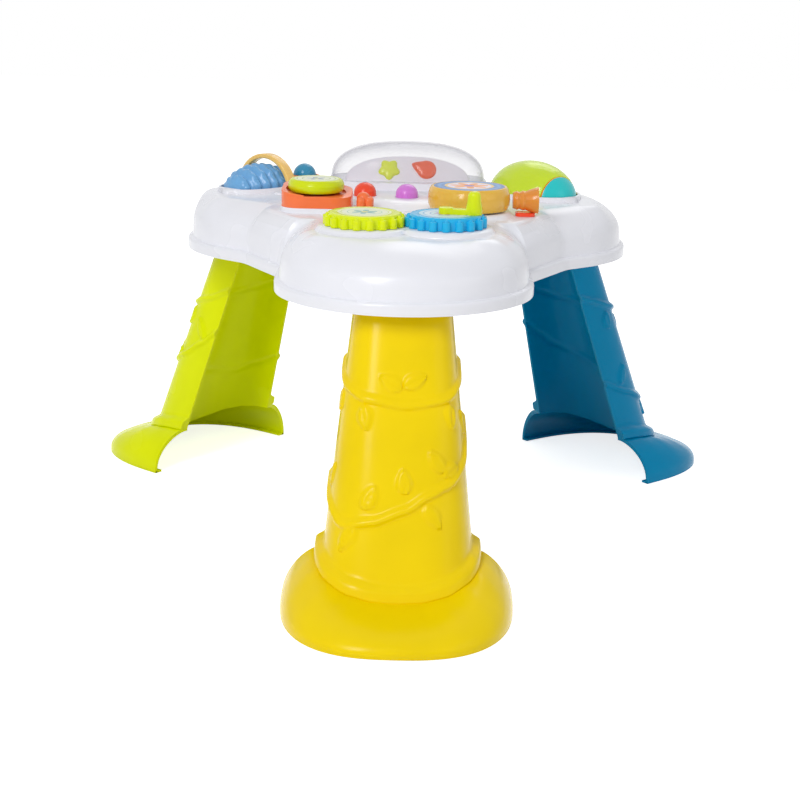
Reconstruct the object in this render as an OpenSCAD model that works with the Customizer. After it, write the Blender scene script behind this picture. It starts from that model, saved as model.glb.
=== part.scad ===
// Musical activity table for toddlers: a lobed white top that carries turning,
// pressing and rolling toys, on three half-round legs that push in from below.
// Units are millimetres. Z is up and the floor is at zero.

/* [Table top] */
// Height of the lower edge of the top above the floor
rim_z = 270; // [240:1:300]
// Height of the flat deck above that lower edge
deck_h = 58; // [55:1:64]
// Distance from the table's axis to the centre of each lobe's round end
lobe_c = 147; // [143:1:155]
// Half width of a lobe, which is also the radius of its round end
lobe_r = 126; // [122:1:132]
// Angle of the side lobes, measured from the table's right side
lobe_az = 38.5; // [36:0.5:41]
// How much further from the axis than a half width the flat walls beside the front lobe are
web_dist = 34; // [28:1:42]
// Direction that those flat walls face, below the table's right side
web_az = 29.3; // [27:0.1:32]
// How much further from the axis than a half width the straight back wall is
back_dist = 100; // [94:1:106]
// Wall thickness of the moulded shell
shell_wall = 3; // [2:0.1:3.6]
// Height of the outward rim along the lower edge
rim_h = 12; // [8:0.5:15]
// How far the rim stands out from the wall
rim_out = 5; // [3:0.5:7]
// Width of the sloping shoulder between the rim's edge and the deck
shoulder_w = 43; // [38:0.5:44.5]
// Width of that shoulder on the flat walls beside the front lobe
web_shoulder = 22; // [18:0.5:24]
// Thickness of the deck
deck_t = 3; // [2:0.1:4]
// Thickness of the cover under the top
cover_t = 3; // [2:0.1:4]
// Depth of the cover above the lower edge
cover_up = 2; // [1.5:0.1:4]
// Gap around pieces that drop into one another
seat_gap = 0.3; // [0.1:0.05:0.5]
// Gap between parts that move past each other
move_gap = 0.6; // [0.4:0.05:0.9]
// Radial clearance of a shaft in its bearing
run_gap = 0.06; // [0.03:0.01:0.09]

/* [Legs] */
// Distance from the axis to the open edge of a leg at its top
leg_in_top = 191; // [184:1:198]
// Outward lean of a leg for each millimetre of height
leg_splay = 0.335; // [0.28:0.005:0.38]
// Half width of a leg at its top
leg_w_top = 46; // [42:1:50]
// Half width of a leg just above its collar
leg_w_low = 70; // [62:1:76]
// Depth of a leg's half-round section at its top
leg_d_top = 56; // [50:1:60]
// Depth of a leg's half-round section at its collar
leg_d_low = 73; // [66:1:78]
// Wall thickness of a leg
leg_wall = 3; // [2:0.1:4]
// Half width of a foot at the floor
foot_w = 108; // [100:1:112]
// Depth of a foot at the floor
foot_d = 138; // [128:1:145]
// Distance from the axis to the open edge of a foot
foot_in = 277; // [270:1:284]
// Width of the flange around the bottom edge of a foot
foot_flange = 9; // [6:0.5:12]
// Height of the collar above the foot
collar_h = 15; // [10:0.5:20]
// How far the collar stands out from the leg
collar_out = 5; // [3:0.5:8]
// How far the raised vines stand out from the leg
vine_out = 3.4; // [2:0.1:4.5]
// Width of the tenon that plugs a leg into the top
tenon_w = 58; // [50:1:64]
// Depth of that tenon
tenon_d = 26; // [20:1:30]
// Height of that tenon
tenon_h = 10; // [8:1:11]
// Corner radius of that tenon
tenon_r = 6; // [3:0.5:9]
// Wall around a leg's socket
socket_wall = 2.5; // [2:0.1:3.5]

/* [Gears] */
// Number of scallops on each gear
gear_teeth = 18; // [16:1:20]
// Pitch radius of each gear, half the distance between them
gear_pitch = 39; // [37:0.5:41]
// Distance of both gears in front of the axis
gear_y = 147; // [143:1:152]
// Height of a gear
gear_h = 12; // [9:0.5:15]
// Height of the cup under a gear, above the deck
cup_h = 4.5; // [3:0.5:6]
// Radius of a gear's shaft
gear_shaft_r = 5; // [4:0.5:6]
// Thickness of the clip that holds a shaft from below
clip_t = 2; // [1.5:0.1:3]
// Radius of a gear's printed disc
gear_label_r = 26; // [22:0.5:28]
// Thickness of every printed disc
label_t = 0.8; // [0.5:0.1:1.2]
// Length of the crank's arm from the gear's centre to its knob
crank_len = 27; // [22:0.5:29]
// Height of the crank's knob above its arm
knob_h = 17; // [12:0.5:22]
// Radius of the crank's knob at its foot
knob_r = 8; // [6:0.25:9]

/* [Drums] */
// Height of the raised middle above the deck
rise_h = 5; // [3:0.5:7]
// Centre of the amber drum, to the right
drum_x = 64; // [61:1:66]
// Centre of the amber drum, in front of the axis
drum_y = 44; // [40:1:47]
// Radius of the amber drum
drum_r = 42; // [38:0.5:43]
// Height of the amber drum
drum_h = 25; // [20:0.5:28]
// Centre of the lime pad, to the left
pad_x = 93; // [91:1:95]
// Centre of the lime pad, in front of the axis
pad_y = 27; // [24:1:30]
// Radius of the lime pad
pad_r = 29; // [26:0.5:31]
// Height of the lime pad above its base
pad_h = 15; // [13:0.5:18]
// Height of the orange base under the lime pad
base_h = 12; // [9:0.5:14]
// Width of the orange base
base_w = 72; // [70:1:74]
// Depth of the orange base
base_d = 66; // [64:1:69]
// Travel of both drums
drum_travel = 1.5; // [1:0.25:2.5]
// Radius of a plunger's stem
stem_r = 6; // [5:0.5:7]

/* [Buttons] */
// Radius of a round button
button_r = 12; // [10:0.5:13]
// Travel of a button
button_travel = 2; // [1:0.25:2.5]
// Distance of the outer buttons from the middle one
button_dx = 45; // [40:1:46]
// Distance of the middle button behind the axis
button_y = 40; // [38:1:42]
// How much farther back the outer buttons are
button_back = 7; // [4:1:10]

/* [Clear dome] */
// Half width of the clear dome
dome_w = 86; // [83:1:88]
// Half depth of the clear dome
dome_d = 44; // [42:1:45]
// Height of the clear dome
dome_h = 41; // [38:1:46]
// Height of the step under the dome, above the raised middle
dome_rise = 8; // [5:0.5:11]
// Distance of its centre behind the axis
dome_y = 132; // [129:1:133]
// Wall thickness of the clear dome
dome_wall = 2; // [1.5:0.1:2.5]
// Half width of the console inside the dome
console_w = 63; // [58:1:64]
// Height of its sloping front panel
console_h = 30; // [28:1:32]
// Depth of the console
console_d = 32; // [26:1:36]
// Lean of the console's front panel from upright
panel_lean = 28; // [24:1:32]
// How far the two lights stand out of the panel
light_out = 3; // [2:0.25:4]

/* [Rollers] */
// Half length of the egg roller
egg_l = 58; // [55:1:59]
// Radius of the egg roller
egg_r = 40; // [38:0.5:41]
// Height of a roller's axle below the deck
axle_down = 2; // [1:0.25:4]
// Distance along the egg from its middle to its end cap
cap_at = 43; // [37:1:47]
// Half length of the ribbed roller
rib_l = 42; // [38:1:44]
// Radius of the ribbed roller in the middle
rib_r = 31; // [28:0.5:32]
// Depth of the grooves between its ribs
rib_groove = 3.5; // [2:0.25:5]
// Number of ribs
rib_count = 5; // [4:1:6]
// Radius of the rollers' axles
axle_r = 3; // [2.5:0.25:3.5]
// Wall of the wells that hold the rollers
well_wall = 3; // [2:0.25:3.5]
// Height of the wells' lips above the deck
well_lip = 5; // [3:0.5:7]

/* [Small toys] */
// Thickness of the band of the orange arch over the ribbed roller
arch_t = 5; // [4:0.5:7]
// Width of the arch's band
arch_w = 12; // [10:0.5:14]
// Radius of the spinning ball
ball_r = 13; // [11:0.5:14]
// Radius of the horn's mouth
horn_r = 14; // [12:0.5:15]

/* [Inside] */
// Length of a battery cell
cell_l = 50.5; // [50:0.5:52]
// Radius of a battery cell
cell_r = 7.25; // [7:0.05:7.5]
// Number of battery cells
cell_n = 3; // [2:1:3]
// Radius of the loudspeaker
speaker_r = 25; // [20:0.5:28]
// Radius of a screw post
post_r = 5; // [4:0.5:6]
// Radius of a screw's shank
screw_r = 1.5; // [1.2:0.1:2]
// Thickness of the circuit board
board_t = 1.6; // [1:0.1:2]

/* [Places] */
// Distance of the egg roller from the outer end of its lobe
egg_at = 95; // [93:1:98]
// Distance of the ribbed roller from the outer end of its lobe
rib_at = 72; // [69:1:75]
// How far the ribbed roller sits forward of its lobe's centre line
rib_side = 14; // [12:1:16]
// Distance of the spinning ball from the outer end of its lobe
ball_at = 83; // [79:1:85]
// How far the spinning ball sits behind its lobe's centre line
ball_side = 50; // [48:1:54]
// Distance of the horn to the right of the axis
horn_x = 122; // [120:1:123]
// Distance of the horn in front of the axis
horn_y = 40; // [37:1:42]
// Distance of the orange knob to the left of the axis
knob_x = 44; // [40:1:44]
// Distance of the orange knob in front of the axis
knob_y = 34; // [30:1:38]

/* [Hidden] */
$fn = 64;
cover_z = rim_z + cover_up;
cover_top = cover_z + cover_t;
leg_top_z = cover_z;
deck_z = rim_z + deck_h;
rise_z = deck_z + rise_h;
dome_z = rise_z + dome_rise;
cup_z = deck_z + cup_h;
under_z = deck_z - deck_t;
fold = [0, 180 - 2 * lobe_az];

// ---------- small vector helpers ----------
function unit(a) = [cos(a), sin(a)];
// Crossing of two lines, each given by its normal's angle and its distance
function line_cross(a1, d1, a2, d2) =
    let (k = cos(a1) * sin(a2) - sin(a1) * cos(a2))
    [(d1 * sin(a2) - d2 * sin(a1)) / k, (d2 * cos(a1) - d1 * cos(a2)) / k];
// Arc that rounds the corner p between a and b, with n + 1 points
function round_corner(a, p, b, r, n) =
    let (u = (a - p) / norm(a - p), v = (b - p) / norm(b - p))
    let (half = acos(u * v) / 2)
    let (m = (u + v) / norm(u + v))
    let (c = p + m * r / sin(half))
    let (side = sign(u[0] * v[1] - u[1] * v[0]))
    let (a0 = atan2(-m[1], -m[0]))
    [for (i = [0 : n]) c + r * unit(a0 - side * (180 - 2 * half) * (i / n - 0.5))];
// Point at a distance r along a lobe's centre line and t to its right
function on_lobe(az, r, t) = r * unit(az) + t * unit(az - 90);

// ---------- outline of the top, moved inwards by d ----------
// Distances from the axis of a lobe's outer end, of the walls beside the front lobe and of the back wall
lobe_tip = lobe_c + lobe_r;
web_wall = lobe_r + web_dist;
back_wall = lobe_r + back_dist;
// Right half of the corners, each with its radius and its number of steps
function half_corners(d) = [
    [[lobe_r - d, -lobe_c - lobe_r + d], lobe_r - d, 8],
    [line_cross(0, lobe_r - d, -web_az, web_wall - d), 8 + d, 2],
    [line_cross(-web_az, web_wall - d, lobe_az - 90, lobe_r - d), 40 + d, 2],
    [line_cross(lobe_az, lobe_tip - d, lobe_az - 90, lobe_r - d), lobe_r - d, 8],
    [line_cross(lobe_az, lobe_tip - d, 90, back_wall - d), lobe_r - d, 6]
];
function all_corners(d) =
    let (h = half_corners(d))
    concat(h, [for (i = [len(h) - 1 : -1 : 0]) [[-h[i][0][0], h[i][0][1]], h[i][1], h[i][2]]]);
function all_arcs(d) =
    let (c = all_corners(d), n = len(c))
    [for (i = [0 : n - 1])
        each round_corner(c[(i + n - 1) % n][0], c[i][0], c[(i + 1) % n][0], c[i][1], c[i][2])];
// The last point of the loop repeats the first one, at the front of the front lobe
function top_outline(d) = let (q = all_arcs(d)) [for (i = [0 : len(q) - 2]) q[i]];

// ---------- shoulder and deck ----------
// Where the deck's edge has to make room: centre and radius of each bulge
cup_r = gear_pitch + 9;
wall_gap = 2 * move_gap;
rib_centre = on_lobe(180 - lobe_az, lobe_tip - rib_at, -rib_side);
egg_centre = on_lobe(lobe_az, lobe_tip - egg_at, 0);
ball_centre = on_lobe(180 - lobe_az, lobe_tip - ball_at, ball_side);
// Ledge that the deck's edge rests on
lip_w = 6;
lip_t = 2.5;
arch_in = rib_r + wall_gap + well_wall;
arch_u = -14;
bulges = [
    [[-gear_pitch, -gear_y], cup_r + 2],
    [[gear_pitch, -gear_y], cup_r + 2],
    [rib_centre, rib_r + lip_w + 5.5],
    [on_lobe(180 - lobe_az, lobe_tip - rib_at, -rib_side - arch_u), arch_in + arch_t + 2],
    [on_lobe(180 - lobe_az, lobe_tip - rib_at, -rib_side - rib_l / 2), rib_l / 2 + lip_w + 14],
    [ball_centre, ball_r + 13]
];
function reach(p, v, g) =
    let (b = (p - g[0]) * v, c = (p - g[0]) * (p - g[0]) - g[1] * g[1], k = b * b - c)
    k <= 0 || b > 0 ? 1000 : -b - sqrt(k);
base_line = top_outline(0);
base_dir = top_outline(1) - base_line;
// 1 on the flat walls beside the front lobe, falling to 0 in the corners at their ends
function web_share(v) = max(0, 1 - acos(min(1, max(v * unit(180 - web_az), v * unit(web_az)))) / 12);
// Inset of the deck's edge at each point of the outline
deck_edge = [for (i = [0 : len(base_line) - 1])
    min([shoulder_w - (shoulder_w - web_shoulder) * web_share(base_dir[i]),
        for (g = bulges) reach(base_line[i], base_dir[i], g)])];
function deck_outline(gap) = [for (i = [0 : len(base_line) - 1]) base_line[i] + (deck_edge[i] + gap) * base_dir[i]];

// Closed section of the wall and shoulder: fixed inset, share of the shoulder, height
top_section = [
    [0, 0, 0],
    [0, 0, rim_h * 0.7],
    [rim_out * 0.3, 0, rim_h * 0.93],
    [rim_out, 0, rim_h + 1],
    [rim_out, 0.06, deck_h - 27],
    [rim_out, 0.11, deck_h - 21],
    [rim_out, 0.21, deck_h - 15],
    [rim_out, 0.36, deck_h - 9.9],
    [rim_out, 0.56, deck_h - 5.6],
    [rim_out, 0.78, deck_h - 2.4],
    [rim_out, 1, deck_h],
    [rim_out, 1, deck_h - deck_t],
    [rim_out + lip_w, 1, deck_h - deck_t],
    [rim_out + lip_w, 1, deck_h - deck_t - lip_t],
    [rim_out, 0.8, deck_h - 2.9 - shell_wall],
    [rim_out + shell_wall * 0.7, 0.4, deck_h - 10.5 - shell_wall * 0.7],
    [rim_out + shell_wall, 0.11, deck_h - 22],
    [rim_out + shell_wall, 0, rim_h - 0.5],
    [shell_wall, 0, rim_h * 0.6],
    [shell_wall, 0, 0]
];

module top_body() {
    m = len(top_section);
    n = len(base_line);
    points = [for (s = top_section, i = [0 : n - 1])
        let (p = base_line[i] + (s[0] + s[1] * (deck_edge[i] - rim_out)) * base_dir[i])
        [p[0], p[1], rim_z + s[2]]];
    faces = [for (j = [0 : m - 1], i = [0 : n - 1])
        [j * n + i, ((j + 1) % m) * n + i, ((j + 1) % m) * n + (i + 1) % n, j * n + (i + 1) % n]];
    polyhedron(points, faces, convexity = 6);
}

// ---------- leg ----------
// Half-round section: a squarish arc of half width w and depth d from the open edge r0
function arc_pt(r0, w, d, n, a) =
    let (q = pow(pow(abs(cos(a)) / d, n) + pow(abs(sin(a)) / w, n), -1 / n))
    [r0 + q * cos(a), q * sin(a)];
leg_low_z = 49;
function leg_f(z) = (leg_top_z - z) / (leg_top_z - leg_low_z);
function leg_in(z) = leg_in_top + (leg_top_z - z) * leg_splay;
function leg_pt(z, a, out) =
    arc_pt(leg_in(z),
        leg_w_top + (leg_w_low - leg_w_top) * leg_f(z) + out,
        leg_d_top + (leg_d_low - leg_d_top) * leg_f(z) + out, 3.8, a);
function foot_pt(a, out) = arc_pt(foot_in, foot_w + out, foot_d + out, 2.5, a);
// Lower edge of the collar, and the two vines, by direction around the leg
function collar_z(a) = lookup(abs(a), [[0, 22], [35, 25], [50, 34], [72, 52], [90, 60]]);
function vine_low_z(a) = lookup(a, [[-90, 114], [-62, 106], [-38, 93], [-22, 94], [-5, 104],
    [10, 114], [25, 125], [42, 132], [62, 148], [90, 166]]);
function vine_high_z(a) = lookup(abs(a), [[0, 192], [20, 195], [45, 204], [70, 212], [90, 216]]);
function at_z(p, z) = [p[0], p[1], z];
// A ring of the foot's flare, q runs from the collar to the floor
function flare(q, a, out) =
    let (side = sin(90 * q))
    let (down = 1 - cos(90 * q))
    at_z(leg_pt(collar_z(a), a, out) * (1 - side) + foot_pt(a, out) * side,
        3.5 + (collar_z(a) - 7.5) * (1 - down) + out * (1 - q));
// Steps up the leg: share of the way from the low vine to the high one, height, standing out
vine_steps = [[0, -6, 0], [0, -2.4, 1], [0, 2.4, 1], [0, 6, 0], [0.5, 0, 0],
    [1, -6, 0], [1, -2.4, 1], [1, 2.4, 1], [1, 6, 0]];
collar_steps = [[0, 1], [1, 1], [1.15, 0]];
flare_steps = [0.86, 0.68, 0.46, 0.24, 0];
leg_rings = 21;
web_t = 4;
// Rings from the floor up, with side 0 for the outer points and 1 for the inner ones
function leg_ring(i, a, side) =
    i < 2 ? at_z(foot_pt(a, -foot_flange * side), 2.4 * i) :
    i == 2 ? at_z(foot_pt(a, -leg_wall * side), 3.5) :
    i < 8 ? flare(flare_steps[i - 3], a, -leg_wall * side) :
    i < 11 ? let (k = collar_steps[i - 8], z = collar_z(a) + collar_h * k[0])
        at_z(leg_pt(z, a, side == 0 ? collar_out * k[1] : -leg_wall), z) :
    i < 20 ? let (k = vine_steps[i - 11])
        let (z = vine_low_z(a) * (1 - k[0]) + vine_high_z(a) * k[0] + k[1])
        at_z(leg_pt(z, a, side == 0 ? vine_out * k[2] : -leg_wall), z) :
    at_z(leg_pt(leg_top_z - web_t, a, -leg_wall * side), leg_top_z - web_t);
leg_angles = [for (a = [-90 : 7.5 : 90]) a];

module leg_shell() {
    n = len(leg_angles);
    w = 2 * n;
    o = (leg_rings - 1) * w;
    t = leg_rings * w;
    points = concat(
        [for (i = [0 : leg_rings - 1], side = [0, 1], a = leg_angles) leg_ring(i, a, side)],
        [for (a = leg_angles) at_z(leg_pt(leg_top_z, a, 0), leg_top_z)]);
    faces = concat(
        [for (j = [0 : leg_rings - 2], i = [0 : n - 2])
            [j * w + i, (j + 1) * w + i, (j + 1) * w + i + 1, j * w + i + 1]],
        [for (j = [0 : leg_rings - 2], i = [n : w - 2])
            [j * w + i, j * w + i + 1, (j + 1) * w + i + 1, (j + 1) * w + i]],
        [for (j = [0 : leg_rings - 2]) each [
            [j * w, j * w + n, (j + 1) * w + n, (j + 1) * w],
            [j * w + n - 1, (j + 1) * w + n - 1, (j + 1) * w + w - 1, j * w + w - 1]]],
        [for (i = [0 : n - 2]) [i, i + 1, n + i + 1, n + i]],
        [for (i = [0 : n - 2]) [o + i, t + i, t + i + 1, o + i + 1]],
        [[for (i = [n - 1 : -1 : 0]) t + i]],
        [[for (i = [0 : n - 1]) o + n + i]],
        [[o, o + n, t], [o + n, o + w - 1, t], [o + w - 1, t + n - 1, t], [o + w - 1, o + n - 1, t + n - 1]]
    );
    polyhedron(points, faces, convexity = 8);
}

module rounded_slab(w, d, r, h) {
    linear_extrude(h) {
        square([w - 2 * r, d], center = true);
        square([w, d - 2 * r], center = true);
        for (x = [-1, 1], y = [-1, 1])
            translate([x * (w / 2 - r), y * (d / 2 - r)]) circle(r);
    }
}
tenon_at = leg_in_top + leg_d_top * 0.46;

module leg() {
    leg_shell();
    translate([tenon_at, 0, leg_top_z - 1])
    difference() {
        rounded_slab(tenon_d, tenon_w, tenon_r, tenon_h + 1);
        translate([0, 0, 2]) rounded_slab(tenon_d - 2 * leg_wall, tenon_w - 2 * leg_wall, tenon_r - leg_wall, tenon_h);
    }
}
// The front foot's reach and the side feet's reach put the origin on the footprint's centre
side_reach = max([for (a = leg_angles) let (p = foot_pt(a, 0)) p[0] * sin(lobe_az) - p[1] * cos(lobe_az)]);
axis_y = (foot_in + foot_d - side_reach) / 2;
module seat() {
    translate([0, axis_y, 0]) children();
}

// ---------- gears ----------
gear_gap = 0.5;
gear_z = cup_z + gear_gap;
tooth_r = 0.6 * PI * gear_pitch / gear_teeth;
gear_body_r = gear_pitch - 4;
boss_z = under_z - 8;
shaft_low = boss_z - 2 * move_gap - clip_t;
arm_h = 5;

module gear(turn) {
    difference() {
        union() {
            rotate_extrude()
            polygon([[0, 0], [gear_body_r, 0], [gear_body_r, gear_h - 1.5], [gear_body_r - 1.5, gear_h], [0, gear_h]]);
            for (i = [0 : gear_teeth - 1])
                rotate(turn + i * 360 / gear_teeth)
                translate([gear_pitch - 3, 0, 0]) {
                    cylinder(r = tooth_r, h = gear_h - 3);
                    translate([0, 0, gear_h - 3]) sphere(r = tooth_r / 2, $fn = 13);
                }
            translate([0, 0, shaft_low - gear_z]) cylinder(r = gear_shaft_r, h = gear_z - shaft_low + 1);
        }
        translate([0, 0, gear_h - label_t]) cylinder(r = gear_label_r, h = label_t + 1);
        difference() {
            translate([0, 0, -0.01]) cylinder(r = gear_body_r - 4, h = gear_h - 4);
            translate([0, 0, -1]) cylinder(r = gear_shaft_r + 4, h = gear_h);
        }
    }
}
module gear_at(x) {
    seat() translate([x, -gear_y, gear_z]) children();
}
module gear_label() {
    difference() {
        translate([0, 0, gear_h - label_t]) cylinder(r = gear_label_r, h = label_t);
        children();
    }
}
module gear_clip() {
    translate([0, 0, shaft_low - gear_z])
    difference() {
        cylinder(r = gear_shaft_r + 4, h = clip_t);
        translate([0, 0, -1]) cylinder(r = gear_shaft_r, h = clip_t + 2);
    }
}

// ---------- drums ----------
drum_z = rise_z + drum_travel + move_gap;
pad_base_z = rise_z + base_h;
pad_z = pad_base_z + drum_travel + move_gap;
board_top = under_z - 19;
switch_h = 4.5;
stem_low = board_top + switch_h + drum_travel + move_gap;
drum_top = rise_z + drum_h;
pad_top = pad_base_z + pad_h;
guide_low = under_z - 5;

// Round drum with a stem: r and h are its own, low is its stem's lower end
module drum(r, h, low) {
    difference() {
        rotate_extrude()
        polygon([[0, 0], [r - 2.5, 0], [r - 0.6, h * 0.2], [r, h * 0.45], [r - 0.5, h * 0.7],
            [r - 2, h * 0.9], [r - 4, h], [0, h]]);
        translate([0, 0, -1]) cylinder(r = r - 6, h = h - 2);
        translate([0, 0, h - label_t]) cylinder(r = r - 6, h = label_t + 1);
    }
    translate([0, 0, low]) cylinder(r = stem_r, h = h - 3 - low);
    translate([0, 0, low]) cylinder(r = stem_r + 1.2, h = 2);
}
module disc(r, z) {
    translate([0, 0, z]) cylinder(r = r, h = label_t);
}
// Silicone bellows that push a drum or a button back
module bellows(r, z0, z1, n) {
    p = (z1 - z0) / n;
    translate([0, 0, z0])
    rotate_extrude($fn = 48)
    polygon(concat(
        [for (i = [0 : n - 1]) each [[r, i * p], [r + 2.2, (i + 0.5) * p]]], [[r, n * p]],
        [for (i = [n : -1 : 1]) each [[r - 1.2, i * p], [r + 1, (i - 0.5) * p]]], [[r - 1.2, 0]]));
}
drum_pos = [drum_x, -drum_y, 0];
pad_pos = [-pad_x, -pad_y, 0];

// ---------- buttons ----------
button_pos = [[-button_dx, button_y + button_back, 0], [0, button_y, 0], [button_dx, button_y + button_back, 0]];
button_hole = button_r + move_gap;
flange_z = under_z - move_gap;
flange_t = 3;
module button() {
    translate([0, 0, rise_z - 1])
    rotate_extrude()
    polygon(concat([[0, 0], [button_r, 0]],
        [for (a = [0 : 15 : 90]) [button_r * cos(a), 2 + button_travel + (button_r - 1) * sin(a)]]));
    translate([0, 0, flange_z - 1]) cylinder(r = button_r, h = rise_z - flange_z + 1);
    translate([0, 0, flange_z - flange_t]) cylinder(r = button_r + 2, h = flange_t);
    translate([0, 0, board_top + switch_h + button_travel + move_gap])
    cylinder(r = 2.5, h = flange_z - flange_t - board_top - switch_h - button_travel - move_gap + 1);
}

// ---------- rollers ----------
roll_z = deck_z - axle_down;
lip_z = deck_z + well_lip;
function egg_env(u, l, r) = r * sqrt(max(0, 1 - u * u / (l * l)));
function rib_env(u) = rib_r * sqrt(1 - u * u / ((rib_l + 6) * (rib_l + 6)));
egg_cut = egg_l - 1.5;
// Turns a shape that stands along Z so that it lies along a lobe's crosswise direction
module lie(centre, az) {
    seat()
    translate([centre[0], centre[1], roll_z])
    rotate(az - 90)
    rotate([0, 90, 0])
    children();
}
module on_right() {
    lie(egg_centre, lobe_az) children();
}
module on_left() {
    lie(rib_centre, 360 - lobe_az) children();
}
module revolve(pts) {
    rotate_extrude() polygon(concat([[0, pts[0][1]]], pts, [[0, pts[len(pts) - 1][1]]]));
}
function egg_profile(a, b, out) = [for (i = [0 : 16]) let (u = a + (b - a) * i / 16) [egg_env(u, egg_l, egg_r) + out, u]];
function rib_profile(out, k) = [for (i = [0 : 8 * rib_count])
    let (u = -rib_l + 2 * rib_l * i / (8 * rib_count))
    [rib_env(u) + out - k * rib_groove * pow(abs(cos(180 * rib_count * (u + rib_l) / (2 * rib_l))), 3), u]];
bearing_l = 8;
module axle(l) {
    translate([0, 0, -l - bearing_l + 1]) cylinder(r = axle_r, h = 2 * (l + bearing_l - 1));
}
module bearing_boss(l) {
    for (s = [-1, 1])
        translate([0, 0, s > 0 ? l + wall_gap : -l - wall_gap - bearing_l - 2])
        cylinder(r = axle_r + 4, h = bearing_l + 2);
}
module egg_well_outer() {
    revolve([for (i = [0 : 16]) let (u = (egg_cut + wall_gap + well_wall) * (i / 8 - 1))
        [egg_env(u, egg_l + wall_gap + well_wall + 1, egg_r + wall_gap + well_wall) , u]]);
    bearing_boss(egg_cut);
}
module egg_well_inner() {
    revolve([for (i = [0 : 16]) let (u = (egg_cut + wall_gap) * (i / 8 - 1))
        [egg_env(u, egg_l + wall_gap + 1, egg_r + wall_gap), u]]);
    translate([0, 0, -egg_cut - bearing_l - 1]) cylinder(r = axle_r + run_gap, h = 2 * (egg_cut + bearing_l + 1));
}
module rib_well_outer() {
    revolve([for (i = [0 : 16]) let (u = (rib_l + wall_gap + well_wall) * (i / 8 - 1))
        [rib_env(u * 0.93) + wall_gap + well_wall, u]]);
    bearing_boss(rib_l);
}
module rib_well_inner() {
    revolve([for (i = [0 : 16]) let (u = (rib_l + wall_gap) * (i / 8 - 1))
        [rib_env(u * 0.93) + wall_gap, u]]);
    translate([0, 0, -rib_l - bearing_l - 1]) cylinder(r = axle_r + run_gap, h = 2 * (rib_l + bearing_l + 1));
}
module below(z) {
    intersection() {
        children();
        translate([-400, -400, 0]) cube([800, 800, z]);
    }
}

// ---------- clear dome ----------
// Points of a ring of the dome at an angle a above its foot
function dome_ring(a, in) =
    let (s = pow(cos(a), 0.8), h = (dome_h - in) * pow(sin(a), 0.8))
    [for (b = [0 : 11.25 : 348.75])
        let (q = pow(pow(abs(cos(b)) / (dome_w - in), 2.7) + pow(abs(sin(b)) / (dome_d - in), 2.7), -1 / 2.7))
        [q * cos(b) * s, dome_y + q * sin(b) * s, dome_z + h]];
module dome_shell() {
    angles = [0, 12, 26, 42, 58, 72, 83];
    m = len(angles);
    n = len(dome_ring(0, 0));
    points = concat([for (a = angles) each dome_ring(a, 0)], [for (a = angles) each dome_ring(a, dome_wall)]);
    k = m * n;
    faces = concat(
        [for (j = [0 : m - 2], i = [0 : n - 1]) [j * n + i, (j + 1) * n + i, (j + 1) * n + (i + 1) % n, j * n + (i + 1) % n]],
        [for (j = [0 : m - 2], i = [0 : n - 1])
            [k + j * n + i, k + j * n + (i + 1) % n, k + (j + 1) * n + (i + 1) % n, k + (j + 1) * n + i]],
        [for (i = [0 : n - 1]) [i, (i + 1) % n, k + (i + 1) % n, k + i]],
        [[for (i = [n - 1 : -1 : 0]) (m - 1) * n + i], [for (i = [0 : n - 1]) k + (m - 1) * n + i]]
    );
    polyhedron(points, faces, convexity = 4);
}
panel_y = dome_y - 31;
console_r = (console_w * console_w + console_h * console_h) / (2 * console_h);
// Puts a flat shape on the console's leaning front panel, drawn with its foot at y = 0
module on_panel() {
    seat()
    translate([0, panel_y, dome_z])
    rotate([90 - panel_lean, 0, 0])
    children();
}

// ---------- inside ----------
pocket_w = cell_l + 4;
pocket_d = cell_n * 2 * (cell_r + seat_gap) + 2;
pocket_h = 2 * cell_r + 2;
pocket_y = 18;
box_wall = 2;
speaker_y = 62;
screw_pts = [[0, -118], [109, -15], [-110, -12], [0, 76],
    on_lobe(lobe_az, lobe_c + 13, 56 - lobe_r), on_lobe(180 - lobe_az, lobe_c + 13, lobe_r - 58)];
board_w = 200;
board_front = 70;
board_back = 60;
board_pts = [[-60, -60], [20, -60], [92, 10], [-92, 30]];
door_y = pocket_y + pocket_d / 2 + 7;

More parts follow.
